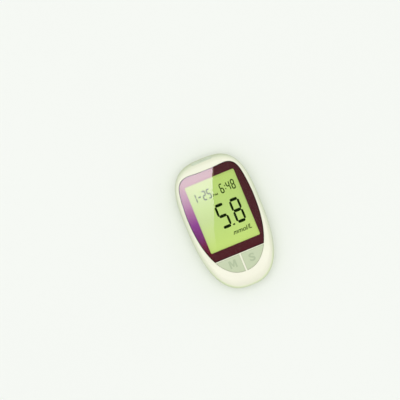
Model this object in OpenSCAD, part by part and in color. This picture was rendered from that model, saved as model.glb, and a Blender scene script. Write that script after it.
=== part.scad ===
// Hand-held blood glucose meter with a backlit display and two keys.
//
// The meter lies on its back: X is its width, Y its length with the strip port at the +Y end, and
// Z its thickness. The origin is under the middle of the case, on the flat of the rear cover.
// The case is two moulded shells, lofted through rings of one egg-shaped outline. The front shell
// carries the lens and the circuit board, and the rear shell carries the cells.

/* [Case] */
// Greatest width of the case
case_w = 56.2; // [56:0.1:58]
// Length of the case
case_l = 96.1; // [96:0.1:98]
// Height of the flat front face over the rear face
front_z = 20.7; // [20.6:0.1:21.5]
// Height of the joint between the two shells
part_z = 9.5; // [9:0.1:10.5]
// Wall of the shells
wall = 2; // [1.8:0.1:2.2]
// Points around the case outline, a multiple of 4
outline_points = 80; // [48:8:96]
// Rings over each rounded edge of the case
round_steps = 6; // [4:1:8]

/* [Display] */
// Width of the clear window in the lens border
window_w = 37.2; // [34:0.1:37.4]
// Length of the clear window
window_l = 50; // [46:0.1:50.2]
// Distance of the window's middle from the middle of the case
window_y = 8.15; // [8:0.05:8.3]
// Thickness of the display lens
lens_t = 1.25; // [1.1:0.05:1.3]

/* [Keys] */
// How far a key moves down
key_travel = 0.5; // [0.2:0.05:0.55]
// Width of the bar between the two keys
bar_w = 1.1; // [1:0.1:1.6]
// Gap around a key in its opening
key_gap = 0.2; // [0.15:0.05:0.3]
// How far the keys stand over the front face
key_proud = 0.2; // [0:0.05:0.4]

/* [Cells] */
// Diameter of one cell
cell_d = 10.5; // [10:0.1:10.6]
// Length of one cell over its contact
cell_l = 44.5; // [43.5:0.1:44.6]
// Distance between the two cells' axes
cell_pitch = 11.5; // [11.3:0.1:11.7]

/* [Battery door] */
// Width of the battery door
door_w = 23.6; // [23:0.1:23.8]
// Gap around the battery door
door_gap = 0.25; // [0.2:0.05:0.3]

/* [Strip port] */
// Width of the slot for the test strip
slot_w = 7.4; // [6:0.1:8]
// Height of the slot for the test strip
slot_h = 1.4; // [1:0.1:1.5]
// How far the eject slider pushes the strip
eject_travel = 6; // [4:0.5:6]

/* [Hidden] */
$fn = 48;
eps = 0.01;

// Case outline: where it is widest, and how square each end is
case_mid_y = 6.85;
top_square = 3.07;
bottom_square = 2.63;
flat_square = 4;
// How far the flat faces stand in from the outline, at the sides, the top and the bottom
front_edge = [2.7, 5.5, 6.5];
rear_edge = [3.4, 5, 5.5];
part_gap = 0.3;
lip_h = 1.2;
lip_gap = 0.1;
roof = 2.4;
floor_z = 1.8;
// The front face falls away towards the bottom end, on this radius
fall_y = -24.3;
fall_r = 100;

// Ribs that stiffen the roof at both ends, and the floor beside the battery bay
rib_t = 1;
top_ribs_x = [-9.5, 9.5];
bottom_ribs_x = [-8, 0, 8];
roof_rib_z = [12, 14];
floor_ribs_y = [-22, -8, 12];
floor_rib_z = 5.5;

// Panel oval, which the lens and the two keys fill together
panel_w = 49.9;
panel_mid_y = 12;
panel_top_y = 40.05;
panel_bottom_y = -36.75;
panel_top_square = 6.3;
panel_bottom_square = 2.235;
panel_taper = 0.106;
panel_dip = 0.8;
panel_dip_w = 28;
lens_bottom_y = -23.55;
lens_gap = 0.1;
rib_w = 0.6;
keys_y = lens_bottom_y - lens_gap - rib_w;

// Heights of the layers from the board to the front face
board_t = 1;
board_z = 15;
board_top = board_z + board_t;
film_t = 0.15;
seat_z = front_z - lens_t - 2 * film_t - 0.05;
mask_inset = 0.1;
tape_inset = 0.5;
glass_t = 0.55;
guide_t = 0.9;
guide_z = board_top + film_t;
rear_glass_z = guide_z + guide_t + film_t;
front_glass_z = rear_glass_z + glass_t;

// Glass and its frame
glass_w = 40;
glass_top_y = window_y + window_l / 2 + 1.4;
glass_bottom_y = window_y - window_l / 2 - 1;
ledge_l = 4;
view_margin = 0.6;
zebra_w = 36;
leds_x = [-10, 0, 10];
frame_wall = 0.8;
frame_gap = 0.2;
frame_h = 1.95;
frame_r = 2.2;

// Keys and switches. Each step of a key's rounded rim is an inset and a depth under its face
flange_w = 0.5;
flange_t = 0.6;
bar_flange_w = 0.25;
key_rim = [[0, 0.35], [0.12, 0.08], [0.5, 0]];
key_wall = 1;
key_roof = 1.3;
key_post_r = 1.6;
switch_x = 7.3;
switch_y = -29.5;
switch_l = 5.2;
switch_h = 1;
plunger_r = 1.2;
plunger_top = board_top + switch_h + 0.6;

// Screws: case screws run from the back into the front shell, board screws into posts
case_screws_at = [[14, 38.3], [-14, 38.3], [16.6, -33], [-16.6, -33]];
case_hole_r = 1.15;
case_pilot_r = 1;
case_pilot_l = 6;
case_shank_r = 0.95;
case_screw_l = 12;
front_boss_r = 2.6;
rear_boss_r = 2.9;
head_r = 1.9;
head_h = 1.4;
head_z = 0.8;
head_gap = 0.25;
board_screws_at = [[22.6, 22], [-22.6, 22], [22.6, -12], [-22.6, -12]];
post_r = 1.5;
board_pilot_r = 0.8;
board_pilot_l = 2.6;
board_shank_r = 0.75;
board_screw_l = 3.2;
board_head_r = 1.5;
board_head_h = 1.1;
screw_tip = 0.6;

// Circuit board, and the buzzer with its sound holes
board_y = [-38.5, 42.7];
board_inset = 0.9;
board_share = 0.4;
boss_notch_r = 3;
buzzer_at = [-18.5, 4];
buzzer_r = 4.6;
buzzer_h = 3.2;
sound_hole_r = 0.6;
sound_hole_pitch = 3;

// Battery bay: its two round roofs, the fill between them, and the sliding door under them
cell_r = cell_d / 2;
trough_r = cell_r + 0.25;
cell_z = 8.2;
bay_wall = 1.1;
bay_roof_t = 0.85;
bay_fill_z = 12.8;
bay_y = [-37.2, 13.3];
door_y = [-44.4, 14];
door_z = 0.2;
door_lip_z = 4.5;
door_skin_z = 1.5;
door_rim = 1.2;
rail_w = 1;
rail_z = [2, 2.6];
grip_y = -38;
grip_w = 14;
grip_r = 0.45;
grip_pitch = 2;
grip_grooves = 6;

// Contacts and springs of the cells
plate_t = 0.4;
plate_gap = 0.05;
bridge_w = 19.4;
bridge_z = [3.6, 12];
end_plate_w = 7.6;
end_plate_z = [4.2, 12];
tail_w = 2;
tail_z = 11;
spring_wire = 0.35;

// Strip port and eject slider
port_z = board_top + 1;
port_w = 15;
port_h = 4;
port_r = 1.2;
port_y = [43.4, 50];
port_gap = 0.1;
slot_r = 0.3;
mouth_y = 45.6;
mouth_flare = 1.6;
connector_y = [36.2, 41.9];
connector_w = 12;
connector_h = 1.8;
contacts_x = [-2.8, -1.7, 1.7, 2.8];
contact_w = 0.4;
contact_l = 4.6;
contact_r = 0.3;
scoop_w = 16;
scoop_y = [19.4, 37];
scoop_z = 1.9;
scoop_r = 4;
scoop_wall = 1.5;
scoop_roof = 1.4;
slider_y = [20, 30.4];
slider_w = 11.5;
slider_r = 3;
slider_z = 0.25;
slider_grip_w = 7.5;
slider_grip_r = 0.4;
slider_grip_pitch = 1.8;
stem_y = [22.4, 26.4];
stem_w = 3.6;
stem_gap = 0.2;
blade_y = [36.2, 37];
blade_w = 2;
blade_gap = 0.3;
arm_z = 3.7;
arm_t = 1.2;
arm_y = [20, 33.2];
arm_w = 8;
neck_w = 3.2;
spring_x = 6.2;
spring_y = [31, 42.8];
spring_z = 7.2;
return_coil_r = 1.8;
return_wire = 0.25;
spring_wall_t = 1.2;
spring_ribs_x = [spring_x - 3, spring_x + 3];

// ---- Outlines ----

// Points of an egg: a superellipse whose two ends have their own reach and squareness
function egg(half_w, mid_y, up, down, n_up, n_down) = [
    for (i = [0 : outline_points - 1])
        let (t = 360 * i / outline_points, c = cos(t), s = sin(t),
             n = s > 0 ? n_up : n_down, reach = s > 0 ? up : down,
             k = pow(pow(abs(c), n) + pow(abs(s), n), -1 / n))
        [half_w * c * k, mid_y + reach * s * k]
];

// Outline of the case, drawn in by a wall and by a share of an edge's rounding
function case_outline(inset, share = 0, edge = front_edge) = egg(
    case_w / 2 - inset - share * edge[0], case_mid_y,
    case_l / 2 - case_mid_y - inset - share * edge[1],
    case_l / 2 + case_mid_y - inset - share * edge[2],
    top_square + share * (flat_square - top_square), bottom_square);

// Outline of the panel oval: its sides lean in towards the top and its top edge dips
function panel_outline(inset) = [
    for (p = egg(panel_w / 2 - inset, panel_mid_y, panel_top_y - panel_mid_y - inset,
                 panel_mid_y - panel_bottom_y - inset, panel_top_square, panel_bottom_square))
        let (up = max(0, (p[1] - panel_mid_y) / (panel_top_y - panel_mid_y)),
             x = p[0] * (1 - panel_taper * pow(up, 1.5)))
        [x, p[1] - panel_dip * pow(up, 8) * max(0, 1 - pow(2 * x / panel_dip_w, 2))]
];

// Height of the front face at a place along the case
function face_z(y) = front_z - (y < fall_y ? fall_r - sqrt(fall_r * fall_r - pow(y - fall_y, 2)) : 0);

// Second coordinate of the panel oval's lower half, as a share, for a share of the first
function oval_share(share) = pow(1 - pow(share, panel_bottom_square), 1 / panel_bottom_square);

// Lower edge of the panel oval at a distance from the middle
function oval_y(x, inset) =
    panel_mid_y - (panel_mid_y - panel_bottom_y - inset) * oval_share(x / (panel_w / 2 - inset));

// Half width of the panel oval at a place along the case, below its widest
function oval_x(y, inset) =
    (panel_w / 2 - inset) * oval_share((panel_mid_y - y) / (panel_mid_y - panel_bottom_y - inset));

// Outline of the right key, drawn in by an inset
function key_outline(inset, steps = 14) =
    let (inner_x = bar_w / 2 + max(inset, -bar_flange_w), top_y = keys_y - inset,
         outer_x = oval_x(top_y, inset))
    concat(
        [for (i = [0 : steps]) let (x = inner_x + (outer_x - inner_x) * i / steps)
            [x, i == steps ? top_y : oval_y(x, inset)]],
        [[inner_x, top_y]]);

// ---- Lofts ----

// Solid through rings of points that all start on the right and run round the same way
module loft(rings) {
    n = len(rings[0]);
    last = (len(rings) - 1) * n;
    walls = [for (k = [0 : len(rings) - 2]) for (i = [0 : n - 1])
        let (a = k * n + i, b = k * n + (i + 1) % n) each [[a, a + n, b + n], [a, b + n, b]]];
    // Each cap is ruled across the case, between points that mirror each other
    strips = [for (i = [-n / 4 : n / 4 - 1])
        let (a = (i + n) % n, b = (i + 1 + n) % n, c = n / 2 - i - 1, d = (n / 2 - i) % n)
        i == -n / 4 ? [a, b, c] : i == n / 4 - 1 ? [a, b, d] : [a, b, c, d]];
    bottom = strips;
    top = [for (s = strips) [for (j = [len(s) - 1 : -1 : 0]) s[j] + last]];
    polyhedron(points = [for (r = rings) each r], faces = concat(walls, bottom, top), convexity = 6);
}

// Loft of a simple outline whose caps are fans
module fan_loft(rings) {
    n = len(rings[0]);
    last = (len(rings) - 1) * n;
    walls = [for (k = [0 : len(rings) - 2]) for (i = [0 : n - 1])
        let (a = k * n + i, b = k * n + (i + 1) % n) each [[a, a + n, b + n], [a, b + n, b]]];
    bottom = [for (i = [1 : n - 2]) [n - 1, (i + n - 1) % n, i]];
    top = [for (i = [1 : n - 2]) [last + n - 1, last + i, last + i - 1]];
    polyhedron(points = [for (r = rings) each r], faces = concat(walls, bottom, top), convexity = 6);
}

// Upper half of the case: the outline rises and draws in along a quarter of an ellipse
module front_form(inset, under_face, base_z, skirt = 0) {
    loft(concat(
        skirt > 0 ? [[for (p = case_outline(inset)) [p[0], p[1], base_z - skirt]]] : [],
        [for (k = [0 : round_steps]) let (t = 90 * k / round_steps)
            [for (p = case_outline(inset, 1 - cos(t), front_edge))
                [p[0], p[1], base_z + (face_z(p[1]) - under_face - base_z) * sin(t)]]]));
}

// Lower half of the case, from a flat floor up to the joint
module rear_form(inset, low_z, top_z, skirt = 0) {
    loft(concat(
        [for (k = [round_steps : -1 : 0]) let (t = 90 * k / round_steps)
            [for (p = case_outline(inset, 1 - cos(t), rear_edge))
                [p[0], p[1], top_z - (top_z - low_z) * sin(t)]]],
        skirt > 0 ? [[for (p = case_outline(inset)) [p[0], p[1], top_z + skirt]]] : []));
}

// ---- Small repeated forms ----

module rounded_rect(w, l, r) {
    square([w - 2 * r, l], center = true);
    square([w, l - 2 * r], center = true);
    for (x = [-1, 1], y = [-1, 1])
        translate([x * (w / 2 - r), y * (l / 2 - r)]) circle(r);
}

// Box between two heights, centred across the case
module slab(w, y, z) {
    translate([-w / 2, y[0], z[0]]) cube([w, y[1] - y[0], z[1] - z[0]]);
}

// Flat layer of the panel outline above the keys
module panel_layer(inset, z, t) {
    translate([0, 0, z]) linear_extrude(t) intersection() {
        polygon(panel_outline(inset));
        translate([-50, lens_bottom_y + inset]) square([100, 100]);
    }
}

module window(w, l, z, t, r = 1) {
    translate([0, window_y, z]) linear_extrude(t) rounded_rect(w, l, r);
}

// Screw that points up, with its head's bearing face at z = 0
module screw(head, head_height, shank, length) {
    difference() {
        union() {
            translate([0, 0, -head_height]) cylinder(r = head, h = head_height);
            translate([0, 0, -eps]) cylinder(r = shank, h = length - screw_tip);
            translate([0, 0, length - screw_tip - eps])
                cylinder(r1 = shank, r2 = shank * 0.3, h = screw_tip);
        }
        // Cross recess
        for (a = [0, 90]) rotate(a)
            translate([-head * 0.6, -head * 0.12, -head_height - eps])
                cube([head * 1.2, head * 0.24, head_height * 0.55]);
    }
}

// Wire coil along Z that starts at radius r0 and ends at radius r1
module coil(r0, r1, height, turns, wire, sides = 6, per_turn = 12) {
    steps = turns * per_turn;
    rings = [for (i = [0 : steps])
        let (a = 360 * i / per_turn, r = r0 + (r1 - r0) * i / steps,
             z = wire + (height - 2 * wire) * i / steps)
        [for (j = [0 : sides - 1]) let (b = 360 * j / sides)
            [(r + wire * cos(b)) * cos(a), (r + wire * cos(b)) * sin(a), z + wire * sin(b)]]];
    walls = [for (k = [0 : steps - 1]) for (j = [0 : sides - 1])
        let (a = k * sides + j, b = k * sides + (j + 1) % sides)
        each [[a, b, b + sides], [a, b + sides, a + sides]]];
    polyhedron(points = [for (r = rings) each r],
        faces = concat(walls, [[for (j = [sides - 1 : -1 : 0]) j]],
            [[for (j = [0 : sides - 1]) steps * sides + j]]), convexity = 8);
}

// ---- Case ----

module front_cover() {
    color("ivory") difference() {
        front_form(0, 0, part_z + part_gap / 2);
        difference() {
            front_form(wall, roof, part_z, skirt = 2);
            for (p = case_screws_at)
                translate([p[0], p[1], part_z + part_gap / 2]) cylinder(r = front_boss_r, h = front_z);
            for (p = board_screws_at)
                translate([p[0], p[1], board_top]) cylinder(r = post_r, h = front_z);
            for (x = top_ribs_x)
                translate([x - rib_t / 2, board_y[1] + 0.3, roof_rib_z[0]]) cube([rib_t, 10, front_z]);
            for (x = bottom_ribs_x)
                translate([x - rib_t / 2, board_y[0] - 11.5, roof_rib_z[1]]) cube([rib_t, 10, front_z]);
        }
        // Groove for the rear cover's lip
        translate([0, 0, part_z - 1]) linear_extrude(1 + lip_h + part_gap / 2)
            polygon(case_outline(wall / 2));
        panel_layer(-lens_gap, seat_z, 5);
        window(glass_w - 1, window_l + 2, 10, 20, 1.2);
        for (s = [0, 1]) mirror([s, 0, 0])
            translate([0, 0, 10]) linear_extrude(20) polygon(key_outline(0));
        for (p = case_screws_at)
            translate([p[0], p[1], part_z]) cylinder(r = case_pilot_r, h = case_pilot_l);
        for (p = board_screws_at)
            translate([p[0], p[1], board_top - eps]) cylinder(r = board_pilot_r, h = board_pilot_l);
        port_cut(port_gap);
    }
}

module rear_cover() {
    color("honeydew") difference() {
        union() {
            difference() {
                rear_form(0, 0, part_z - part_gap / 2);
                difference() {
                    rear_form(wall, floor_z, part_z, skirt = 2);
                    for (p = case_screws_at) translate([p[0], p[1], 0]) cylinder(r = rear_boss_r, h = part_z);
                    slab(scoop_w + 2 * scoop_wall, [scoop_y[0] - scoop_wall, scoop_y[1] + scoop_wall],
                        [0, scoop_z + scoop_roof]);
                    spring_stop();
                    for (y = floor_ribs_y) slab(case_w, [y - rib_t / 2, y + rib_t / 2], [0, floor_rib_z]);
                }
            }
            case_lip();
            bay_block();
        }
        bay_cut();
        door_cut();
        for (p = case_screws_at) translate([p[0], p[1], -eps]) {
            cylinder(r = head_r + head_gap, h = head_z + head_h + eps);
            cylinder(r = case_hole_r, h = 20);
        }
        scoop_cut();
        // Sound holes behind the buzzer
        for (i = [-1 : 1]) translate([buzzer_at[0], buzzer_at[1] + sound_hole_pitch * i, -1])
            cylinder(r = sound_hole_r, h = 4);
    }
}

// Wall that the ejector's return spring pushes against, and the two ribs that brace it
module spring_stop() {
    brace_l = 6;
    translate([spring_ribs_x[0] - rib_t / 2, spring_y[1], 1])
        cube([spring_ribs_x[1] - spring_ribs_x[0] + rib_t, spring_wall_t, spring_z + 1.8]);
    for (x = spring_ribs_x)
        translate([x - rib_t / 2, spring_y[1] - brace_l / 2, 1]) cube([rib_t, brace_l, spring_z]);
}

// Lip of the rear cover that runs in the front cover's groove
module case_lip() {
    translate([0, 0, part_z - 2]) linear_extrude(2 + lip_h) difference() {
        polygon(case_outline(wall / 2 + lip_gap));
        polygon(case_outline(wall + lip_gap));
    }
}

// Moulded block that holds the two cells, with a round roof over each
module bay_block() {
    y = [bay_y[0] - bay_wall, bay_y[1] + bay_wall];
    for (x = [-1, 1]) translate([x * cell_pitch / 2, y[0], cell_z]) rotate([-90, 0, 0])
        cylinder(r = trough_r + bay_roof_t, h = y[1] - y[0]);
    slab(cell_pitch + 2 * (trough_r + bay_roof_t), y, [floor_z - 0.5, cell_z]);
    slab(cell_pitch, y, [cell_z - 1, bay_fill_z]);
    slab(door_w + 2 * (rail_w + door_gap + 1), y, [floor_z - 0.5, rail_z[1] + 1.6]);
}

module bay_cut() {
    for (x = [-1, 1]) {
        translate([x * cell_pitch / 2, bay_y[0], cell_z]) rotate([-90, 0, 0])
            cylinder(r = trough_r, h = bay_y[1] - bay_y[0]);
        // Way up to the board for a contact's tail
        translate([x * cell_pitch / 2 - tail_w / 2 - 0.3, bay_y[1] - plate_t - 0.3, cell_z])
            cube([tail_w + 0.6, plate_t + 0.3, board_z - cell_z]);
    }
    slab(cell_pitch + 2 * trough_r, bay_y, [0, cell_z]);
    // Room for the plate that bridges the two cells
    slab(bridge_w + 0.6, [bay_y[0], bay_y[0] + plate_t + 0.2], [bridge_z[0] - 0.6, bridge_z[1] + 0.4]);
}

// Slot that the battery door slides in, open towards the bottom end
module door_cut() {
    rail_cut_w = door_w + 2 * rail_w + 2 * door_gap;
    slab(door_w + 2 * door_gap, [-60, door_y[1] + door_gap], [-1, floor_z + 0.1]);
    slab(rail_cut_w, [-60, door_y[1] + door_gap], [floor_z, rail_z[1] + door_gap]);
    slab(rail_cut_w, [-60, door_y[0] + door_gap], [floor_z, door_lip_z + door_gap]);
}

module battery_door() {
    color("honeydew") difference() {
        intersection() {
            rear_form(0, 0, part_z - part_gap / 2);
            union() {
                slab(door_w, [-60, door_y[1]], [door_z, rail_z[1]]);
                slab(door_w + 2 * rail_w, [-60, door_y[1] - 0.8], rail_z);
                slab(door_w + 2 * rail_w, [-60, door_y[0]], [rail_z[0], door_lip_z]);
            }
        }
        // Hollow inside, under the cells
        slab(door_w - 2 * door_rim, [door_y[0] + door_rim, door_y[1] - door_rim], [door_skin_z, part_z]);
        // Grip grooves for the thumb
        for (i = [0 : grip_grooves - 1]) translate([0, grip_y + grip_pitch * i, door_z])
            rotate([0, 90, 0]) cylinder(r = grip_r, h = grip_w - i, center = true, $fn = 16);
    }
}

// ---- Display ----

module display_lens() {
    color("lightcyan") panel_layer(0, seat_z + 2 * film_t, lens_t);
}

module lens_mask() {
    color("maroon") difference() {
        panel_layer(mask_inset, seat_z + film_t, film_t);
        window(window_w, window_l, seat_z - 1, 3);
    }
}

module lens_tape() {
    color("dimgray") difference() {
        panel_layer(tape_inset, seat_z, film_t);
        window(glass_w - 0.6, window_l + 2.4, seat_z - 1, 3);
    }
}

module glass_layer(w, bottom_y, top_y, z, t) {
    translate([0, (bottom_y + top_y) / 2, z]) linear_extrude(t)
        square([w, top_y - bottom_y], center = true);
}

module front_polariser() {
    color("palegreen") window(window_w + 2 * view_margin, window_l + 2 * view_margin,
        front_glass_z + glass_t, film_t, 0.4);
}

module lcd_front_glass() {
    color("lightgreen") glass_layer(glass_w, glass_bottom_y - ledge_l, glass_top_y, front_glass_z, glass_t);
}

module lcd_rear_glass() {
    color("lightgreen") glass_layer(glass_w, glass_bottom_y, glass_top_y, rear_glass_z, glass_t);
}

module rear_polariser() {
    color("palegreen") glass_layer(glass_w - 1, glass_bottom_y + 0.5, glass_top_y - 0.5,
        guide_z + guide_t, film_t);
}

module light_guide() {
    color("greenyellow") glass_layer(glass_w - 1, glass_bottom_y + 0.5, glass_top_y - 0.5,
        guide_z, guide_t);
}

module reflector_sheet() {
    color("white") glass_layer(glass_w - 1, glass_bottom_y + 0.5, glass_top_y - 0.5, board_top, film_t);
}

module lcd_frame() {
    outer = glass_w + 2 * (frame_gap + frame_wall);
    y = [glass_bottom_y - ledge_l - frame_gap - frame_wall, glass_top_y + frame_gap + frame_wall];
    color("white") difference() {
        translate([0, (y[0] + y[1]) / 2, board_top])
            linear_extrude(frame_h) rounded_rect(outer, y[1] - y[0], frame_r);
        slab(glass_w + 2 * frame_gap, [y[0] + frame_wall, y[1] - frame_wall], [0, 30]);
    }
    // Bridge between the light guide and the rubber connector
    color("white") slab(glass_w + 2 * frame_gap, [glass_bottom_y - 1, glass_bottom_y - 0.2],
        [board_top, rear_glass_z + glass_t]);
}

module zebra_strip() {
    color("pink") slab(zebra_w, [glass_bottom_y - ledge_l + 0.3, glass_bottom_y - 1.2],
        [board_top, front_glass_z]);
}

module backlight_leds() {
    size = [3, 0.6, 0.9];
    color("lemonchiffon") for (x = leds_x)
        translate([x - size[0] / 2, glass_top_y - 0.45, board_top]) cube(size);
}

// ---- Board ----

module circuit_board() {
    color("darkgreen") translate([0, 0, board_z]) linear_extrude(board_t) difference() {
        intersection() {
            polygon(case_outline(wall + board_inset, board_share));
            translate([-case_w / 2, board_y[0]]) square([case_w, board_y[1] - board_y[0]]);
        }
        for (p = case_screws_at) translate(p) circle(boss_notch_r);
        for (p = board_screws_at) translate(p) circle(board_shank_r + 0.15);
        // Notch that the ejector's blade runs in
        translate([-blade_w / 2 - blade_gap, blade_y[0] - 0.5]) square([blade_w + 2 * blade_gap, 20]);
    }
}

// Chip under the board with legs on two sides
module chip(x, y, w, l, h, legs) {
    leg = [0.8, 0.36, 0.4];
    translate([x, y, board_z]) {
        translate([-w / 2, -l / 2, -h]) cube([w, l, h - 0.1]);
        for (s = [-1, 1], i = [0 : legs - 1])
            translate([s * (w + leg[0]) / 2, (i - (legs - 1) / 2) * l / legs, -leg[2] / 2])
                cube(leg, center = true);
    }
}

module processor_chip() {
    color("dimgray") chip(0, 25, 10, 10, 1.5, 8);
}

module memory_chip() {
    color("dimgray") chip(-13.5, 27, 4, 5, 1.5, 4);
}

module analog_chip() {
    color("dimgray") chip(12.5, 30, 4, 5, 1.5, 4);
}

// Flat metal can with round ends
module crystal() {
    r = 1.6;
    half_l = 2.2;
    h = 2;
    color("silver") translate([13, 20, board_z - h]) {
        for (s = [-1, 1]) translate([s * half_l, 0, 0]) cylinder(r = r, h = h);
        translate([-half_l, -r, 0]) cube([2 * half_l, 2 * r, h]);
    }
}

// Row of resistors or capacitors on the underside of the board, each turned along X or Y
module component_row(x, y, count, step_x, step_y, along_x) {
    size = along_x ? [2, 1.25, 0.8] : [1.25, 2, 0.8];
    for (i = [0 : count - 1]) translate([x + step_x * i, y + step_y * i, board_z - size[2]]) cube(size);
}

module board_components() {
    color("tan") {
        component_row(-20, -24, 5, 0, 4.5, true);
        component_row(18, -24, 5, 0, 4.5, true);
        component_row(-7.5, 32.6, 4, 4.5, 0, false);
        component_row(-19.5, 18.6, 3, 3, 0, false);
    }
}

module buzzer() {
    color("dimgray") translate([buzzer_at[0], buzzer_at[1], board_z]) mirror([0, 0, 1]) difference() {
        cylinder(r = buzzer_r, h = buzzer_h);
        translate([0, 0, buzzer_h - 1]) cylinder(r = 1, h = 2);
    }
}

module key_switches() {
    color("silver") for (s = [-1, 1]) translate([s * switch_x, switch_y, board_top]) difference() {
        translate([-switch_l / 2, -switch_l / 2, 0]) cube([switch_l, switch_l, switch_h]);
        translate([0, 0, 0.05]) cylinder(r = plunger_r + 0.15, h = 3);
    }
}

module plunger(side) {
    low = board_top + key_travel + 0.1;
    color("black") translate([side * switch_x, switch_y, low])
        cylinder(r = plunger_r, h = plunger_top - low);
}

module left_plunger() {
    plunger(-1);
}

module right_plunger() {
    plunger(1);
}

// ---- Keys ----

// Ring of the key's outline that follows the front face, at a depth under it
function key_ring(inset, depth) = [for (p = key_outline(inset)) [p[0], p[1], face_z(p[1]) - depth]];

// Right key: a hollow cap that follows the front face, on a flange that keeps it in the case,
// with a post inside that rests on the switch's plunger
module key() {
    flange_depth = roof + 0.3;
    difference() {
        union() {
            fan_loft([for (step = concat([[0, flange_depth + 0.3]], key_rim))
                key_ring(key_gap + step[0], step[1] - key_proud)]);
            fan_loft([key_ring(-flange_w, flange_depth + flange_t), key_ring(-flange_w, flange_depth)]);
        }
        difference() {
            fan_loft([key_ring(key_gap + key_wall, flange_depth + flange_t + 0.1),
                key_ring(key_gap + key_wall, key_roof - key_proud)]);
            translate([switch_x, switch_y, plunger_top]) cylinder(r = key_post_r, h = 5);
        }
    }
}

module left_button() {
    color("darkseagreen") mirror([1, 0, 0]) key();
}

module right_button() {
    color("darkseagreen") key();
}

// ---- Strip port and ejector ----

// Opening for the strip port trim in the top end of the front cover
module port_cut(gap) {
    translate([0, port_y[0] - gap, port_z]) rotate([-90, 0, 0])
        linear_extrude(port_y[1] - port_y[0]) rounded_rect(port_w + 2 * gap, port_h + 2 * gap, port_r);
}

module strip_port() {
    color("gray") difference() {
        intersection() {
            front_form(0, 0, part_z + part_gap / 2);
            port_cut(0);
        }
        translate([0, port_y[0] - 1, port_z]) rotate([-90, 0, 0])
            linear_extrude(10) rounded_rect(slot_w, slot_h, slot_r);
        // Flared mouth
        translate([0, mouth_y, port_z]) rotate([-90, 0, 0])
            linear_extrude(3.5, scale = mouth_flare) rounded_rect(slot_w, slot_h, slot_r);
    }
}

module strip_connector() {
    slot_z = [port_z - slot_h / 2, port_z + slot_h / 2];
    color("dimgray") difference() {
        slab(connector_w, connector_y, [board_top, board_top + connector_h]);
        slab(slot_w, [connector_y[0] + 0.8, connector_y[1] + 1], slot_z);
        // Slit for the ejector's blade
        slab(blade_w + 2 * blade_gap, [connector_y[0] - 1, connector_y[1] + 1], [board_top - 1, slot_z[1]]);
    }
}

// Row of bent contact springs that touch the strip from below
module strip_contacts() {
    color("gold") for (x = contacts_x)
        translate([x - contact_w / 2, connector_y[0] + 1.2, board_top + 0.3]) {
            cube([contact_w, contact_l, contact_w / 2]);
            translate([0, contact_l / 2, contact_w]) rotate([0, 90, 0])
                cylinder(r = contact_r, h = contact_w, $fn = 16);
        }
}

// Finger scoop in the back, with the slot that the slider's stem runs in
module scoop_cut() {
    translate([0, (scoop_y[0] + scoop_y[1]) / 2, -1])
        linear_extrude(scoop_z + 1) rounded_rect(scoop_w, scoop_y[1] - scoop_y[0], scoop_r);
    slab(stem_w + 2 * stem_gap, [stem_y[0] - stem_gap, stem_y[1] + eject_travel + stem_gap], [0, part_z]);
}

module eject_slider() {
    mid_y = (slider_y[0] + slider_y[1]) / 2;
    slider_l = slider_y[1] - slider_y[0];
    color("darkseagreen") {
        difference() {
            translate([0, mid_y, slider_z])
                linear_extrude(scoop_z - 0.2 - slider_z) rounded_rect(slider_w, slider_l, slider_r);
            for (i = [-2 : 2]) translate([0, mid_y + slider_grip_pitch * i, slider_z])
                rotate([0, 90, 0]) cylinder(r = slider_grip_r, h = slider_grip_w, center = true, $fn = 16);
        }
        slab(stem_w, stem_y, [scoop_z - 0.3, arm_z]);
    }
}

// Arm inside the case: a sliding plate, a blade that reaches the strip, and a spring seat
module ejector_arm() {
    plate_z = [arm_z, arm_z + arm_t];
    seat_t = 1.4;
    seat_x = [spring_x - 3.2, spring_x + 2.5];
    color("gainsboro") {
        slab(arm_w, arm_y, plate_z);
        slab(neck_w, [arm_y[1] - 0.2, blade_y[1]], plate_z);
        slab(blade_w, blade_y, [arm_z + 1, port_z + 0.1]);
        // Rib that stiffens the blade
        slab(arm_t, [arm_y[1] - 2.2, blade_y[0] + 0.2], [arm_z + 1, arm_z + 6]);
        // Seat of the return spring
        translate([seat_x[0], spring_y[0] - seat_t, arm_z])
            cube([seat_x[1] - seat_x[0], seat_t, spring_z - arm_z + 2.2]);
    }
}

module ejector_spring() {
    color("silver") translate([spring_x, spring_y[0], spring_z]) rotate([-90, 0, 0])
        coil(return_coil_r, return_coil_r, spring_y[1] - spring_y[0], 7, return_wire);
}

// ---- Cells ----

module cell() {
    rotate_extrude() polygon([
        [0, 0], [cell_r - 0.6, 0], [cell_r - 0.6, 0.2], [cell_r, 0.4], [cell_r, cell_l - 1.6],
        [cell_r - 0.7, cell_l - 1.2], [1.9, cell_l - 1.2], [1.9, cell_l - 0.2], [1.6, cell_l], [0, cell_l]]);
}

// Faces of the contact plates at the two ends of the bay, and the length of a spring between them
bridge_face_y = bay_y[0] + plate_gap + plate_t;
end_face_y = bay_y[1] - plate_gap - plate_t;
spring_l = end_face_y - bridge_face_y - cell_l;

module left_cell() {
    color("goldenrod") translate([-cell_pitch / 2, bridge_face_y + spring_l, cell_z])
        rotate([-90, 0, 0]) cell();
}

module right_cell() {
    color("goldenrod") translate([cell_pitch / 2, end_face_y - spring_l, cell_z])
        rotate([90, 0, 0]) cell();
}

// Coil that narrows from its plate to the flat end of its cell
module cell_spring() {
    coil(3.6, 2.2, spring_l, 4, spring_wire);
}

module cell_springs() {
    color("silver") {
        translate([-cell_pitch / 2, bridge_face_y, cell_z]) rotate([-90, 0, 0]) cell_spring();
        translate([cell_pitch / 2, end_face_y, cell_z]) rotate([90, 0, 0]) cell_spring();
    }
}

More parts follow.
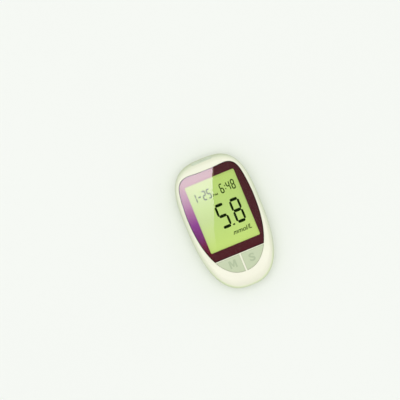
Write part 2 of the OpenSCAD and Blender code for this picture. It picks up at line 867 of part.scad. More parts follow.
// A plate that bridges the cells at one end, and a plate with a tail for each at the other
module cell_contacts() {
    color("silver") {
        slab(bridge_w, [bridge_face_y - plate_t, bridge_face_y], bridge_z);
        for (s = [-1, 1]) translate([s * cell_pitch / 2, 0, 0]) {
            slab(end_plate_w, [end_face_y, end_face_y + plate_t], end_plate_z);
            slab(tail_w, [end_face_y, end_face_y + plate_t], [tail_z, board_z]);
        }
    }
}

// ---- Fasteners ----

module case_screws() {
    color("silver") for (p = case_screws_at)
        translate([p[0], p[1], head_z + head_h]) screw(head_r, head_h, case_shank_r, case_screw_l);
}

module board_screws() {
    color("silver") for (p = board_screws_at)
        translate([p[0], p[1], board_z]) screw(board_head_r, board_head_h, board_shank_r, board_screw_l);
}

front_cover();
rear_cover();
battery_door();
display_lens();
lens_mask();
lens_tape();
front_polariser();
lcd_front_glass();
lcd_rear_glass();
rear_polariser();
light_guide();
reflector_sheet();
lcd_frame();
zebra_strip();
backlight_leds();
circuit_board();
processor_chip();
memory_chip();
analog_chip();
crystal();
board_components();
buzzer();
key_switches();
left_plunger();
right_plunger();
left_button();
right_button();
strip_connector();
strip_contacts();
strip_port();
eject_slider();
ejector_arm();
ejector_spring();
left_cell();
right_cell();
cell_springs();
cell_contacts();
board_screws();
case_screws();
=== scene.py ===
import math
from contextlib import contextmanager

import bmesh
import bpy
from mathutils import Matrix, Vector


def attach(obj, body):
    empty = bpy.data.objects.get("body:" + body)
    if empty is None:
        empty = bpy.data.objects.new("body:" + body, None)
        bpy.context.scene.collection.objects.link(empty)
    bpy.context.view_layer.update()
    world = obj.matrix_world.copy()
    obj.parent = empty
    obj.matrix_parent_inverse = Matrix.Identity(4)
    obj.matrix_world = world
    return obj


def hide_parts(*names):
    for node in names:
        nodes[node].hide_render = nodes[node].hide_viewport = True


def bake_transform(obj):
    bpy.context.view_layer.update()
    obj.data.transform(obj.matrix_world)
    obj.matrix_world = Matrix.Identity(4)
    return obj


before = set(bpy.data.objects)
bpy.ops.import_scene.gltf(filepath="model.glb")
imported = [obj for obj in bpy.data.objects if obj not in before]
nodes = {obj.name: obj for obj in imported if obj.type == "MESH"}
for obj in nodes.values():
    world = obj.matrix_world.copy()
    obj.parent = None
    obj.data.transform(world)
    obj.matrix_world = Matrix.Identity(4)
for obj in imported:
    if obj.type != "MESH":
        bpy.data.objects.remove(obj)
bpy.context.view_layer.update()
print("frame loaded:", len(nodes), "CAD nodes")

# Lengths are in millimetres; settle() and stagePiece() bring finished meshes to metres.
toMetres = 0.001
quarterTurn = math.pi / 2
wholeTurn = 2 * math.pi


def maths(operation, *values):
    # a Math node on values of which one at least is a wire
    wire = next(value for value in values if isinstance(value, Wire))
    return wire.node("ShaderNodeMath", {"operation": operation}, dict(enumerate(values)))


def operators(operation):
    # the Python operator that adds a Math node, and its reflected form
    return (lambda wire, other: maths(operation, wire, other),
            lambda wire, other: maths(operation, other, wire))


class Wire:
    # One output of a node tree. Python operators on it add the Math nodes.

    def __init__(self, tree, socket=None):
        self.tree = tree
        self.socket = socket

    def node(self, kind, settings=None, values=None, out=0):
        made = self.tree.nodes.new(kind)
        for name, setting in (settings or {}).items():
            if name == "stops":
                fillRamp(made.color_ramp, setting)
            else:
                setattr(made, name, setting)
        for name, value in (values or {}).items():
            if isinstance(value, Wire):
                self.tree.links.new(value.socket, made.inputs[name])
            else:
                made.inputs[name].default_value = value
        return Wire(self.tree, made.outputs[out]) if made.outputs else None

    def also(self, name):
        # another output of the node that this wire comes from
        return Wire(self.tree, self.socket.node.outputs[name])

    __add__, __radd__ = operators("ADD")
    __sub__, __rsub__ = operators("SUBTRACT")
    __mul__, __rmul__ = operators("MULTIPLY")
    __truediv__, __rtruediv__ = operators("DIVIDE")
    __pow__, __rpow__ = operators("POWER")

    def __abs__(self):
        return maths("ABSOLUTE", self)


def fillRamp(ramp, stops):
    while len(ramp.elements) > 1:
        ramp.elements.remove(ramp.elements[0])
    for place, colour in stops:
        stop = ramp.elements[0] if place == stops[0][0] else ramp.elements.new(place)
        stop.position = place
        stop.color = colour


def either(operation, plain):
    # a function for plain numbers and for wires, so that one formula serves Python and node trees
    def work(value, *others):
        return maths(operation, value, *others) if isinstance(value, Wire) else plain(value, *others)
    return work


cosine = either("COSINE", math.cos)
sine = either("SINE", math.sin)
most = either("MAXIMUM", max)
least = either("MINIMUM", min)
isOver = either("GREATER_THAN", lambda value, limit: float(value > limit))


def share(value):
    # held between 0 and 1
    return least(most(value, 0), 1)


def between(first, second, part):
    return first + (second - first) * part


def spread(first, last, steps):
    # evenly spaced values, both ends among them
    return [between(first, last, i / steps) for i in range(steps + 1)]


# The case outline is an egg: each end has its own reach and squareness. The draws say how far the
# front shell's rounded edges stand in. Its face is flat, then falls away from fallStart on a radius.
outline = {
    "halfWidth": 28.1, "middleY": 6.85, "up": 41.2, "down": 54.9, "faceZ": 20.7,
    "topSquare": 3.07, "flatSquare": 4.0, "bottomSquare": 2.63,
    "sideDraw": 2.7, "topDraw": 5.5, "bottomDraw": 6.5, "fallStart": -24.3, "fallRadius": 100.0,
}
# The panel oval, which the lens and the keys fill together: its sides lean in and its top edge dips.
panel = {
    "openHalf": 24.95, "openMiddleY": 12.0, "openUp": 28.05, "openDown": 48.75,
    "openTopSquare": 6.3, "openBottomSquare": 2.235,
    "openTaper": 0.106, "openDip": 0.8, "openDipReach": 14.0, "openTurn": 0.106,
}
walls = {"joint": 9.5, "gap": 0.3, "side": 2.0, "roof": 2.4, "floor": 1.8, "overrun": 2.0}


def eggPoint(angle, half, middle, up, down, upSquare, downSquare):
    # a blunt oval that has its own reach and squareness on each side of its middle
    across, along = cosine(angle), sine(angle)
    isUp = isOver(along, 0)
    reach = between(down, up, isUp)
    square = between(downSquare, upSquare, isUp)
    size = (abs(across) ** square + abs(along) ** square) ** (-1 / square)
    return half * across * size, middle + reach * along * size


def casePoint(angle, size, drawn=0, inset=0):
    # the case outline, drawn in by a share of an edge's rounding and by a wall
    return eggPoint(
        angle, size["halfWidth"] - inset - drawn * size["sideDraw"], size["middleY"],
        size["up"] - inset - drawn * size["topDraw"],
        size["down"] - inset - drawn * size["bottomDraw"],
        between(size["topSquare"], size["flatSquare"], drawn), size["bottomSquare"])


def caseRing(inset, z, count=240):
    return [(*casePoint(wholeTurn * i / count, outline, inset=inset), z) for i in range(count)]


def openPoint(angle, size, outset=0):
    x, y = eggPoint(
        angle, size["openHalf"] + outset, size["openMiddleY"], size["openUp"] + outset,
        size["openDown"] + outset, size["openTopSquare"], size["openBottomSquare"])
    up = most(y - size["openMiddleY"], 0) / size["openUp"]
    x = x * (1 - size["openTaper"] * up ** 1.5)
    nearMiddle = most(1 - x * x / size["openDipReach"] ** 2, 0)
    return x, y - size["openDip"] * up ** 8 * nearMiddle


def faceHeight(y, size):
    beyondFlat = most(size["fallStart"] - y, 0)
    radius = size["fallRadius"]
    return size["faceZ"] - radius + (radius ** 2 - beyondFlat * beyondFlat) ** 0.5


def ovalReach(across, half, reach, square):
    # how far a blunt oval reaches at a place across it
    return reach * (1 - (abs(across) / half) ** square) ** (1 / square)


def circleOf(x, y, radius, count=48):
    turns = [wholeTurn * i / count for i in range(count)]
    return [(x + radius * math.cos(turn), y + radius * math.sin(turn)) for turn in turns]


def roundedRectangle(width, length, radius, y=0, steps=8):
    points = []
    for corner, (sideX, sideY) in enumerate([(1, 1), (-1, 1), (-1, -1), (1, -1)]):
        for i in range(steps + 1):
            turn = quarterTurn * (corner + i / steps)
            points.append((
                sideX * (width / 2 - radius) + radius * math.cos(turn),
                y + sideY * (length / 2 - radius) + radius * math.sin(turn)))
    return points


def rounding(steps):
    # a rounded edge as (1 - cosine, 1 - sine) pairs of a quarter turn
    turns = [quarterTurn * i / steps for i in range(steps + 1)]
    return [(1 - math.cos(turn), 1 - math.sin(turn)) for turn in turns]


# Meshes

def meshFrom(points, faces=(), name="mesh"):
    mesh = bpy.data.meshes.new(name)
    mesh.from_pydata(points, [], faces)
    return mesh


@contextmanager
def reshaping(mesh):
    # opens a mesh for bmesh work and writes it back
    shape = bmesh.new()
    shape.from_mesh(mesh)
    yield shape
    shape.to_mesh(mesh)
    shape.free()


def tidied(mesh, merge=1e-4):
    # doubles merged, loose edges gone, faces pointing outwards
    with reshaping(mesh) as shape:
        bmesh.ops.remove_doubles(shape, verts=shape.verts, dist=merge)
        loose = [edge for edge in shape.edges if not edge.link_faces]
        bmesh.ops.delete(shape, geom=loose, context="EDGES")
        bmesh.ops.recalc_face_normals(shape, faces=shape.faces)
    return mesh


def loft(rings, endless=False):
    # a closed skin through rings of equal count, capped at both ends or joined end to end
    count, spans = len(rings[0]), len(rings) if endless else len(rings) - 1
    faces = []
    for span in range(spans):
        near, far = span * count, (span + 1) % len(rings) * count
        for i in range(count):
            after = (i + 1) % count
            faces.append((near + i, near + after, far + after, far + i))
    if not endless:
        faces.append(tuple(range(count)))
        faces.append(tuple(range((len(rings) - 1) * count, len(rings) * count)))
    return tidied(meshFrom([point for ring in rings for point in ring], faces))


def raised(points, z):
    return [(x, y, z) for x, y in points]


def prism(points, low, high):
    return loft([raised(points, z) for z in (low, high)])


def slab(halfWidth, spanY, spanZ):
    (near, far), half = spanY, halfWidth
    return prism([(half, near), (half, far), (-half, far), (-half, near)], *spanZ)


def tubesAt(places, radius, low, high):
    return [prism(circleOf(x, y, radius), low, high) for x, y in places]


def lathe(profile, count=64):
    # turns (radius, height) pairs about Z
    return loft([raised(circleOf(0, 0, radius, count), height) for radius, height in profile])


def flared(ringAt, high, flare, steps=4):
    # cutter for an opening in the back, with a rounded rim; ringAt takes an outset
    rings = [raised(ringAt(flare), -1)]
    rings += [raised(ringAt(flare * out), flare * rise) for rise, out in rounding(steps)]
    return loft([*rings, raised(ringAt(0), high)])


def roundHole(x, y, radius, high, flare, count=48):
    return flared(lambda outset: circleOf(x, y, radius + outset, count), high, flare)


def strip(path, width, depth, corner, steps=4):
    # bar with a rounded top along a path; its profile is in (across, down) pairs
    arc = [(width / 2 - corner * draw, corner * drop) for draw, drop in rounding(steps)]
    profile = [(-width / 2, depth), *[(-across, down) for across, down in arc]]
    profile += [*arc[::-1], (width / 2, depth)]
    points = [Vector(point) for point in path]
    rings = []
    for point, before, after in zip(points, [points[0], *points], [*points[1:], points[-1]]):
        ahead = after - before
        side = Vector((-ahead.y, ahead.x, 0)).normalized()
        rings.append([tuple(point + side * across - Vector((0, 0, down))) for across, down in profile])
    return loft(rings)


def meshOf(carrier):
    bpy.context.view_layer.update()
    evaluated = carrier.evaluated_get(bpy.context.evaluated_depsgraph_get())
    mesh = bpy.data.meshes.new_from_object(evaluated)
    bpy.data.objects.remove(carrier)
    return mesh


def carrierOf(data, name="carrier"):
    carrier = bpy.data.objects.new(name, data)
    bpy.context.scene.collection.objects.link(carrier)
    return carrier


def carved(mesh, *cutters, operation="DIFFERENCE"):
    for cutter in cutters:
        body, tool = carrierOf(mesh), carrierOf(cutter)
        change = body.modifiers.new("carve", "BOOLEAN")
        change.operation = operation
        change.solver = "EXACT"
        change.object = tool
        mesh = meshOf(body)
        bpy.data.objects.remove(tool)
    return mesh


def joined(*meshes):
    whole = bpy.data.meshes.new("joined")
    with reshaping(whole) as shape:
        for mesh in meshes:
            shape.from_mesh(mesh)
    return whole


def alongY(mesh, at, way=1):
    # lays a piece that points up along Y, or against it
    mesh.transform(Matrix.Rotation(-way * quarterTurn, 4, "X"))
    mesh.transform(Matrix.Translation(at))
    return mesh


def settle(name, mesh, finish, body, replaced=(), sharp=35):
    mesh.transform(Matrix.Scale(toMetres, 4))
    mesh.materials.clear()
    mesh.materials.append(finish)
    mesh.shade_smooth()
    mesh.set_sharp_from_angle(angle=math.radians(sharp))
    mesh.name = name
    piece = carrierOf(mesh, name)
    if body:
        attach(piece, body)
    if replaced:
        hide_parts(*replaced)
    return piece


# Geometry trees

def startTree(name, sizes):
    tree = bpy.data.node_groups.new(name, "GeometryNodeTree")
    tree.interface.new_socket("Geometry", in_out="INPUT", socket_type="NodeSocketGeometry")
    tree.interface.new_socket("Geometry", in_out="OUTPUT", socket_type="NodeSocketGeometry")
    kinds = {int: "NodeSocketInt", float: "NodeSocketFloat"}
    for label, value in sizes.items():
        tree.interface.new_socket(label, in_out="INPUT", socket_type=kinds[type(value)])
    entry = tree.nodes.new("NodeGroupInput")
    return tree, {socket.name: Wire(tree, socket) for socket in entry.outputs if socket.name}


def endTree(geometry, finish):
    real = geometry.node("GeometryNodeRealizeInstances", {}, {"Geometry": geometry})
    painted = real.node("GeometryNodeSetMaterial", {}, {"Geometry": real, "Material": finish})
    painted.node("NodeGroupOutput", {}, {"Geometry": painted})


def grown(tree, sizes, seed=None):
    # runs a tree on a carrier and keeps the plain mesh
    carrier = carrierOf(seed or bpy.data.meshes.new("seed"))
    change = carrier.modifiers.new("grow", "NODES")
    change.node_group = tree
    for item in tree.interface.items_tree:
        if item.in_out == "INPUT" and item.name in sizes:
            change[item.identifier] = sizes[item.name]
    return meshOf(carrier)


def axesOf(place):
    x = place.node("ShaderNodeSeparateXYZ", {}, {0: place})
    return x, x.also("Y"), x.also("Z")


def caseHalf(finish, sizes):
    # One closed half of the case, as a grid wrapped round it. Row 0 and the last row meet inside, at
    # startZ; row 1 is the outline there; then come the joint, the rounded edge, the face and the lip
    # of the opening.
    tree, size = startTree("caseHalf", sizes)
    edgeFrom = 2
    facesFrom = size["roundSteps"] + edgeFrom
    lipFrom = facesFrom + size["faceSteps"]
    wallFrom = lipFrom + size["lipSteps"]
    rows = wallFrom + 1
    grid = rows.node("GeometryNodeMeshGrid", {}, {
        "Size X": 1.0, "Size Y": 1.0,
        "Vertices X": size["pointsRound"] + 1, "Vertices Y": rows + 1}, out="Mesh")
    gridX, gridY, _ = axesOf(grid.node("GeometryNodeInputPosition"))
    angle = (gridX + 0.5) * wholeTurn
    row = (gridY + 0.5) * rows
    tilt = share((row - edgeFrom) / size["roundSteps"]) * quarterTurn
    lipTilt = share((row - lipFrom) / size["lipSteps"]) * quarterTurn
    atOpening = 1 - share(row)
    atStart = 1 - share(row - 1)
    caseX, caseY = casePoint(angle, size, 1 - cosine(tilt))
    outset = size["openGap"] + size["openLip"] * (1 - most(sine(lipTilt), atOpening))
    openX, openY = openPoint(angle - size["openTurn"] * cosine(angle), size, outset)
    inward = most(share((row - facesFrom) / size["faceSteps"]), atOpening)
    x, y = between(caseX, openX, inward), between(caseY, openY, inward)
    top = between(size["jointZ"], faceHeight(y, size), sine(tilt))
    top = top - size["openLip"] * (1 - cosine(lipTilt))
    z = between(top, size["startZ"], most(share(row - wallFrom), atStart))
    position = x.node("ShaderNodeCombineXYZ", {}, {"X": x, "Y": y, "Z": z})
    shaped = x.node("GeometryNodeSetPosition", {}, {"Geometry": grid, "Position": position})
    merge = 0.001
    whole = x.node("GeometryNodeMergeByDistance", {}, {"Geometry": shaped, "Distance": merge})
    endTree(whole, finish)
    return tidied(grown(tree, sizes), merge)


def spot(x, y, z, turn=0, scale=(1, 1, 1)):
    # a place for a copy, its turn about Z in degrees, and its scale
    return (x, y, z), turn, scale


def scattered(part, spots, finish):
    # copies of one part
    points = meshFrom([place for place, _, _ in spots])
    turns = points.attributes.new("turn", "FLOAT", "POINT")
    scales = points.attributes.new("scale", "FLOAT_VECTOR", "POINT")
    for i, (_, turn, scale) in enumerate(spots):
        turns.data[i].value = math.radians(turn)
        scales.data[i].vector = scale
    shape = carrierOf(part)
    sizes = {"partScale": 1.0}
    tree, size = startTree("scattered", sizes)
    geometry = size["Geometry"]
    copy = geometry.node("GeometryNodeObjectInfo", {}, {"Object": shape}, out="Geometry")
    kind = "GeometryNodeInputNamedAttribute"
    turn = geometry.node(kind, {"data_type": "FLOAT"}, {"Name": "turn"}, out="Attribute")
    turn = turn.node("ShaderNodeCombineXYZ", {}, {"Z": turn})
    scale = geometry.node(kind, {"data_type": "FLOAT_VECTOR"}, {"Name": "scale"}, out="Attribute")
    scaling = {0: scale, "Scale": size["partScale"]}
    scale = scale.node("ShaderNodeVectorMath", {"operation": "SCALE"}, scaling)
    copies = geometry.node("GeometryNodeInstanceOnPoints", {}, {
        "Points": geometry, "Instance": copy, "Rotation": turn, "Scale": scale})
    endTree(copies, finish)
    mesh = grown(tree, sizes, points)
    bpy.data.objects.remove(shape)
    return mesh


def coil(turns, startRadius, endRadius, length, wire, finish):
    sizes = {
        "turns": float(turns), "startRadius": startRadius, "endRadius": endRadius,
        "length": length, "wire": wire, "steps": 28, "sides": 10}
    tree, size = startTree("coil", sizes)
    path = size["turns"].node("GeometryNodeCurveSpiral", {}, {
        "Resolution": size["steps"], "Rotations": size["turns"], "Start Radius": size["startRadius"],
        "End Radius": size["endRadius"], "Height": size["length"] - 2 * size["wire"]}, out="Curve")
    section = path.node(
        "GeometryNodeCurvePrimitiveCircle", {}, {"Resolution": size["sides"], "Radius": size["wire"]})
    wound = path.node("GeometryNodeCurveToMesh", {}, {
        "Curve": path, "Profile Curve": section, "Fill Caps": True}, out="Mesh")
    lift = path.node("ShaderNodeCombineXYZ", {}, {"Z": size["wire"]})
    lifted = wound.node("GeometryNodeTransform", {}, {"Geometry": wound, "Translation": lift})
    endTree(lifted, finish)
    return tidied(grown(tree, sizes))


# Materials

def hexColour(code):
    # an sRGB code as linear red, green, blue and alpha
    parts = [int(code[i:i + 2], 16) / 255 for i in (1, 3, 5)]
    return (*[p / 12.92 if p <= 0.04045 else ((p + 0.055) / 1.055) ** 2.4 for p in parts], 1.0)


def finishOf(recipe):
    # a maker of materials; the recipe takes the object coordinates, in millimetres, for its surface
    def make(name, *details, **more):
        material = bpy.data.materials.new(name)
        material.use_nodes = True
        material.node_tree.nodes.clear()
        place = Wire(material.node_tree).node("ShaderNodeTexCoord", out="Object")
        scaling = {0: place, "Scale": 1 / toMetres}
        place = place.node("ShaderNodeVectorMath", {"operation": "SCALE"}, scaling)
        surface = recipe(place, *details, **more)
        place.node("ShaderNodeOutputMaterial", {}, {"Surface": surface})
        return material
    return make


def noise(place, grain, detail=2.0, stretch=(1, 1, 1), offset=0.0):
    # noise whose features are about one grain across, in millimetres
    moved = place.node("ShaderNodeMapping", {}, {
        "Vector": place, "Location": (offset, -offset, offset * 0.5), "Scale": stretch})
    return moved.node("ShaderNodeTexNoise", {}, {"Vector": moved, "Scale": 1 / grain, "Detail": detail})


def smooth(value, low, high):
    return value.node("ShaderNodeMapRange", {"interpolation_type": "SMOOTHSTEP"}, {
        "Value": value, "From Min": low, "From Max": high})


def band(value, low, high, edge):
    # 1 within a span and 0 outside, with soft edges
    return smooth(value, low, low + edge) * (1 - smooth(value, high - edge, high))


def mixed(part, first, second):
    return part.node("ShaderNodeMix", {"data_type": "RGBA"}, {0: part, 6: first, 7: second}, out=2)


def ramped(value, stops):
    return value.node("ShaderNodeValToRGB", {"stops": [(p, hexColour(c)) for p, c in stops]}, {"Fac": value})


def toned(colour, value, amount):
    # brightens and darkens a colour or a code a little with a noise about 0.5
    grey = 1 + (value - 0.5) * (2 * amount)
    factor = grey.node("ShaderNodeCombineXYZ", {}, {"X": grey, "Y": grey, "Z": grey})
    base = colour if isinstance(colour, Wire) else hexColour(colour)[:3]
    return factor.node("ShaderNodeVectorMath", {"operation": "MULTIPLY"}, {0: factor, 1: base})


def bumped(height, depth):
    return height.node("ShaderNodeBump", {}, {
        "Height": height, "Strength": 1.0, "Distance": depth * toMetres})


def coated(place, **sockets):
    values = {name.replace("_", " "): value for name, value in sockets.items()}
    return place.node("ShaderNodeBsdfPrincipled", {}, values)


def overlaid(part, under, over):
    return part.node("ShaderNodeMixShader", {}, {0: part, 1: under, 2: over})


# How the front shell's colour deepens down its edge: partly the case's own green towards the joint, partly
# painted shade and light, a dark rim line at the outline and a paler face and edge near the bottom end.
# The spans named From and End are shares of the way along the case, from the bottom end to the port; the
# ends keep their pale face longer.
shade = {
    "startY": -48.0, "length": 96.0, "deepest": 12,
    "sideRise": (0.13, 1.15), "sidePower": 1.5, "sideDeep": 0.6, "sideFrom": (0.12, 0.28),
    "bottomEnd": (0.06, 0.3), "bottomReach": 3.5, "bottomNarrow": 0.04, "bottomPower": 4,
    "topEnd": (0.8, 0.9), "topHalf": (3, 13), "topRise": 0.07, "topPower": 3.6, "topDeep": 0.55,
    "face": [(0.0, "#f1f0dc"), (0.04, "#e9ebd3"), (0.11, "#e8ecd1"), (0.2, "#e1e8cb"),
             (0.42, "#d6dec0"), (0.8, "#cfd8b6"), (0.98, "#c4cea8")],
    "bottom": [(0.0, "#f1f0dc"), (0.03, "#f1f3d9"), (0.12, "#e6efc6"), (0.4, "#dae5b8"), (0.85, "#cad7a8")],
    "rear": [(0.0, "#ccd7af"), (0.5, "#ccd8b0"), (0.78, "#c8d4a8")],
}


# level of the front's tint and painted shade, by depth under the face and place along the case
def frontTintAndShade(x, y, z):
    along = share((y - shade["startY"]) / shade["length"])
    depth = most(faceHeight(y, outline) - z, 0)
    side = depth ** shade["sidePower"] * between(*shade["sideRise"], along)
    side = side + smooth(along, *shade["sideFrom"]) * shade["sideDeep"]
    bottom = (depth / (shade["bottomReach"] - abs(x) * shade["bottomNarrow"])) ** shade["bottomPower"]
    top = depth ** shade["topPower"] * shade["topRise"] + shade["topDeep"]
    atBottom = 1 - smooth(along, *shade["bottomEnd"])
    atTop = smooth(along, *shade["topEnd"]) * (1 - smooth(abs(x), *shade["topHalf"]))
    return between(between(side, bottom, atBottom), top, atTop), atBottom


@finishOf
def mouldedCase(place, stops, seed, bottomStops=None):
    # moulded plastic with a fine spark texture; its colour deepens from the face to the joint, partly painted
    # shade
    x, y, z = axesOf(place)
    level, atBottom = frontTintAndShade(x, y, z) if bottomStops else (z, 0)
    clouds = noise(place, 9.0, 3.0, offset=seed)
    sparks = noise(place, 0.16, 2.0, offset=seed)
    flow = noise(place, 3.0, 2.0, (1, 0.25, 1), seed)
    level = (level + (clouds - 0.5) * 0.5) / shade["deepest"]
    colour = ramped(level, stops)
    if bottomStops:
        colour = mixed(atBottom, colour, ramped(level, bottomStops))
    rubbed = smooth(noise(place, 1.7, 5.0, offset=seed + 3), 0.6, 0.82)
    rough = 0.42 + (sparks - 0.5) * 0.16 - rubbed * 0.08 + (clouds - 0.5) * 0.06
    return coated(
        place, Base_Color=toned(toned(colour, clouds, 0.02), flow, 0.012), Roughness=rough,
        Normal=bumped(sparks * 0.7 + flow * 0.3, 0.012), IOR=1.5)


@finishOf
def mouldedPlastic(place, code, rough=0.45, grain=0.14, depth=0.01, tone=0.05, seed=0.0):
    fine, broad = noise(place, grain, 2.0, offset=seed), noise(place, 5.0, 3.0, offset=seed)
    scuffs = smooth(noise(place, 0.5, 4.0, (1, 0.12, 1), seed + 5), 0.64, 0.8)
    return coated(
        place, Base_Color=toned(code, broad * 0.6 + fine * 0.4, tone),
        Roughness=rough + (fine - 0.5) * 0.14 + scuffs * 0.1, Normal=bumped(fine, depth))


@finishOf
def softKeyPlastic(place, code):
    # satin plastic, a little darker in the broad pores and polished where thumbs press
    pores, broad = noise(place, 0.11, 2.0), noise(place, 6.0, 3.0)
    thumb = smooth(noise(place, 3.5, 2.0, offset=4.0), 0.45, 0.75)
    colour = toned(code, pores * 0.4 + broad * 0.6, 0.035)
    return coated(
        place, Base_Color=colour, Roughness=0.5 + (pores - 0.5) * 0.16 - thumb * 0.09,
        Normal=bumped(pores * 0.8 + broad * 0.2, 0.012))


@finishOf
def metalFinish(place, code, rough=0.28, grain=0.25, stretch=(1, 1, 1), seed=0.0):
    streaks, clouds = noise(place, grain, 4.0, stretch, seed), noise(place, 1.8, 3.0, offset=seed)
    return coated(
        place, Base_Color=toned(code, clouds * 0.5 + streaks * 0.5, 0.08),
        Roughness=rough + (streaks - 0.5) * 0.2 + (clouds - 0.5) * 0.1, Metallic=1.0,
        Normal=bumped(streaks, 0.004))


# The border's maroon ink and a painted glare run along the lens from startY; the painted glare lies on the
# left of a slanting line near the edge of the panel's reflection.
border = {
    "startY": -34, "length": 82, "slant": 0.4, "slantY": 36.6, "blend": (3.6, 5.6),
    "pearl": [(0.16, "#58232a"), (0.22, "#63202c"), (0.29, "#720c35"), (0.39, "#6d095f"), (0.49, "#790c72"),
              (0.59, "#963e7a"), (0.69, "#a97784"), (0.78, "#ac887e"), (0.84, "#b29680"), (0.9, "#b89f8c")],
    "maroon": [(0.1, "#58232a"), (0.3, "#53292e"), (1.0, "#51282c")],
}


@finishOf
def borderPrint(place):
    # maroon ink under the lens, with painted glare on its left that turns to violet and rose
    x, y, _ = axesOf(place)
    along = y - border["startY"]
    flakes = place.node("ShaderNodeTexVoronoi", {}, {"Vector": place, "Scale": 9.0}, out="Distance")
    clouds = noise(place, 7.0, 3.0)
    wash = noise(place, 2.2, 4.0, offset=6.0)
    # painted glare: the violet and rose of the lens's highlight, put into the print's colour
    pearl = ramped((along + (clouds - 0.5) * 2) / border["length"], border["pearl"])
    maroon = ramped(along / border["length"], border["maroon"])
    part = smooth(x - (y - border["slantY"]) * border["slant"], *border["blend"])
    colour = toned(toned(mixed(part, pearl, maroon), wash, 0.05), flakes, 0.04)
    return coated(
        place, Base_Color=colour, Roughness=0.4 + (wash - 0.5) * 0.1, Specular_IOR_Level=0.0)


glow = {"startY": -17, "length": 50, "stops": [(0.0, "#bbd173"), (0.45, "#b2ca77"), (1.0, "#b0c76e")],
        "strength": 0.32}


@finishOf
def displayGlow(place):
    # the backlit display, brighter towards the bottom end, with the reflector's faint mottle
    y = axesOf(place)[1]
    mottle, clouds = noise(place, 0.35, 3.0), noise(place, 9.0, 2.0)
    colour = ramped((y - glow["startY"] + (clouds - 0.5) * 3) / glow["length"], glow["stops"])
    colour = toned(colour, mottle, 0.012)
    return coated(
        place, Base_Color=toned(colour, clouds, 0.01), Roughness=0.6 + (mottle - 0.5) * 0.1,
        Emission_Color=colour, Emission_Strength=glow["strength"], Specular_IOR_Level=0.0)


@finishOf
def displayInk(place, code):
    dots = noise(place, 0.25, 2.0)
    return coated(
        place, Base_Color=toned(code, dots, 0.12),
        Roughness=0.55 + (dots - 0.5) * 0.1, Specular_IOR_Level=0.0)


@finishOf
def lensGloss(place):
    # clear above what lies under it, with the gloss of a hard-coated face
    faceOn = 0.05
    clear = place.node("ShaderNodeBsdfTransparent", {}, {"Color": (0.985, 0.99, 0.985, 1)})
    smears = noise(place, 6.0, 3.0)
    shine = place.node("ShaderNodeBsdfAnisotropic", {}, {"Color": (1, 1, 1, 1), "Roughness": smears * 0.015})
    facing = place.node("ShaderNodeLayerWeight", {}, {"Blend": 0.5}, out="Facing")
    return overlaid(faceOn + (1 - faceOn) * facing ** 5, clear, shine)


@finishOf
def clearSheet(place, code, gloss=0.04, film=0.85):
    # see-through sheet with a faint tint and gloss
    haze = noise(place, 4.0, 3.0)
    clear = place.node("ShaderNodeBsdfTransparent", {}, {"Color": hexColour(code)})
    solid = place.node("ShaderNodeBsdfPrincipled", {}, {
        "Base Color": toned(code, haze, 0.05), "Roughness": 0.08 + haze * 0.06})
    return overlaid((1 - film) + haze * gloss, clear, solid)


@finishOf
def circuitBoard(place):
    # green solder mask over copper tracks, with the weave of the laminate under it
    tracks = place.node("ShaderNodeTexBrick", {"offset": 0.37, "squash": 0.6}, {
        "Vector": place, "Color1": (0, 0, 0, 1), "Color2": (0.2, 0.2, 0.2, 1), "Mortar": (1, 1, 1, 1),
        "Scale": 0.22, "Mortar Size": 0.045, "Mortar Smooth": 0.1})
    copper = smooth(tracks, 0.4, 0.7)
    weave = place.node("ShaderNodeTexChecker", {}, {"Vector": place, "Scale": 2.2}, out="Fac")
    clouds = noise(place, 3.0, 3.0)
    mask = toned("#1d5a34", weave * 0.3 + clouds * 0.7, 0.12)
    return coated(
        place, Base_Color=mixed(copper, mask, hexColour("#3f8a4c")),
        Roughness=0.3 + clouds * 0.12, Normal=bumped(copper * 0.8 + weave * 0.2, 0.03))


# Spans of a cell's jacket, from its positive end
jacketSpans = {"ring": (7.9, 9.5), "film": (2.6, 43.7), "edge": 0.1}


@finishOf
def cellJacket(place, plusY, towardsPlus):
    # shrunk film jacket with a pale ring at the positive end, bare metal at both rims
    fromPlus = (plusY - axesOf(place)[1]) * towardsPlus
    ring, film = [band(fromPlus, *jacketSpans[part], jacketSpans["edge"]) for part in ("ring", "film")]
    lines = noise(place, 0.22, 3.0, (0.05, 1, 0.05))
    creases = noise(place, 2.4, 4.0)
    jacket = mixed(ring, toned("#2f4a63", lines, 0.06), hexColour("#d9dcd6"))
    colour = mixed(film, toned("#c9c8c2", lines, 0.08), jacket)
    return coated(
        place, Base_Color=colour, Roughness=0.26 + (creases - 0.5) * 0.12,
        Metallic=1 - film * 0.75, Normal=bumped(lines * 0.3 + creases * 0.7, 0.01))


creamCase = mouldedCase("creamCase", shade["face"], 0.0, shade["bottom"])
greenCase = mouldedCase("greenCase", shade["rear"], 20.0)
greenDoor = mouldedCase("greenDoor", shade["rear"], 41.0)
keyGreen = softKeyPlastic("keyGreen", "#bfcba7")
keyLetter = softKeyPlastic("keyLetter", "#aab994")
lensFace = lensGloss("lensFace")
lensEdge = clearSheet("lensEdge", "#fbfcfb", 0.006, 0.998)
# the border's print carries painted glare on its left
pearlBorder = borderPrint("pearlBorder")
# painted shade of the gap round the lens
borderDark = displayInk("borderDark", "#38211e")
displayFace = displayGlow("displayFace")
displayDark = displayInk("displayDark", "#122100")
displayFaint = displayInk("displayFaint", "#294507")
# the date's paler ink is painted glare: the highlight over the date, painted into its ink
displayPale = displayInk("displayPale", "#4a7607")
portGrey = mouldedPlastic("portGrey", "#cfdac0", 0.5, 0.18, 0.014)
sliderGreen = softKeyPlastic("sliderGreen", "#b9c79c")
springSteel = metalFinish("springSteel", "#b9bab6", 0.24, 0.3, (1, 0.2, 1))
screwSteel = metalFinish("screwSteel", "#9fa09c", 0.3, 0.12, seed=3.0)

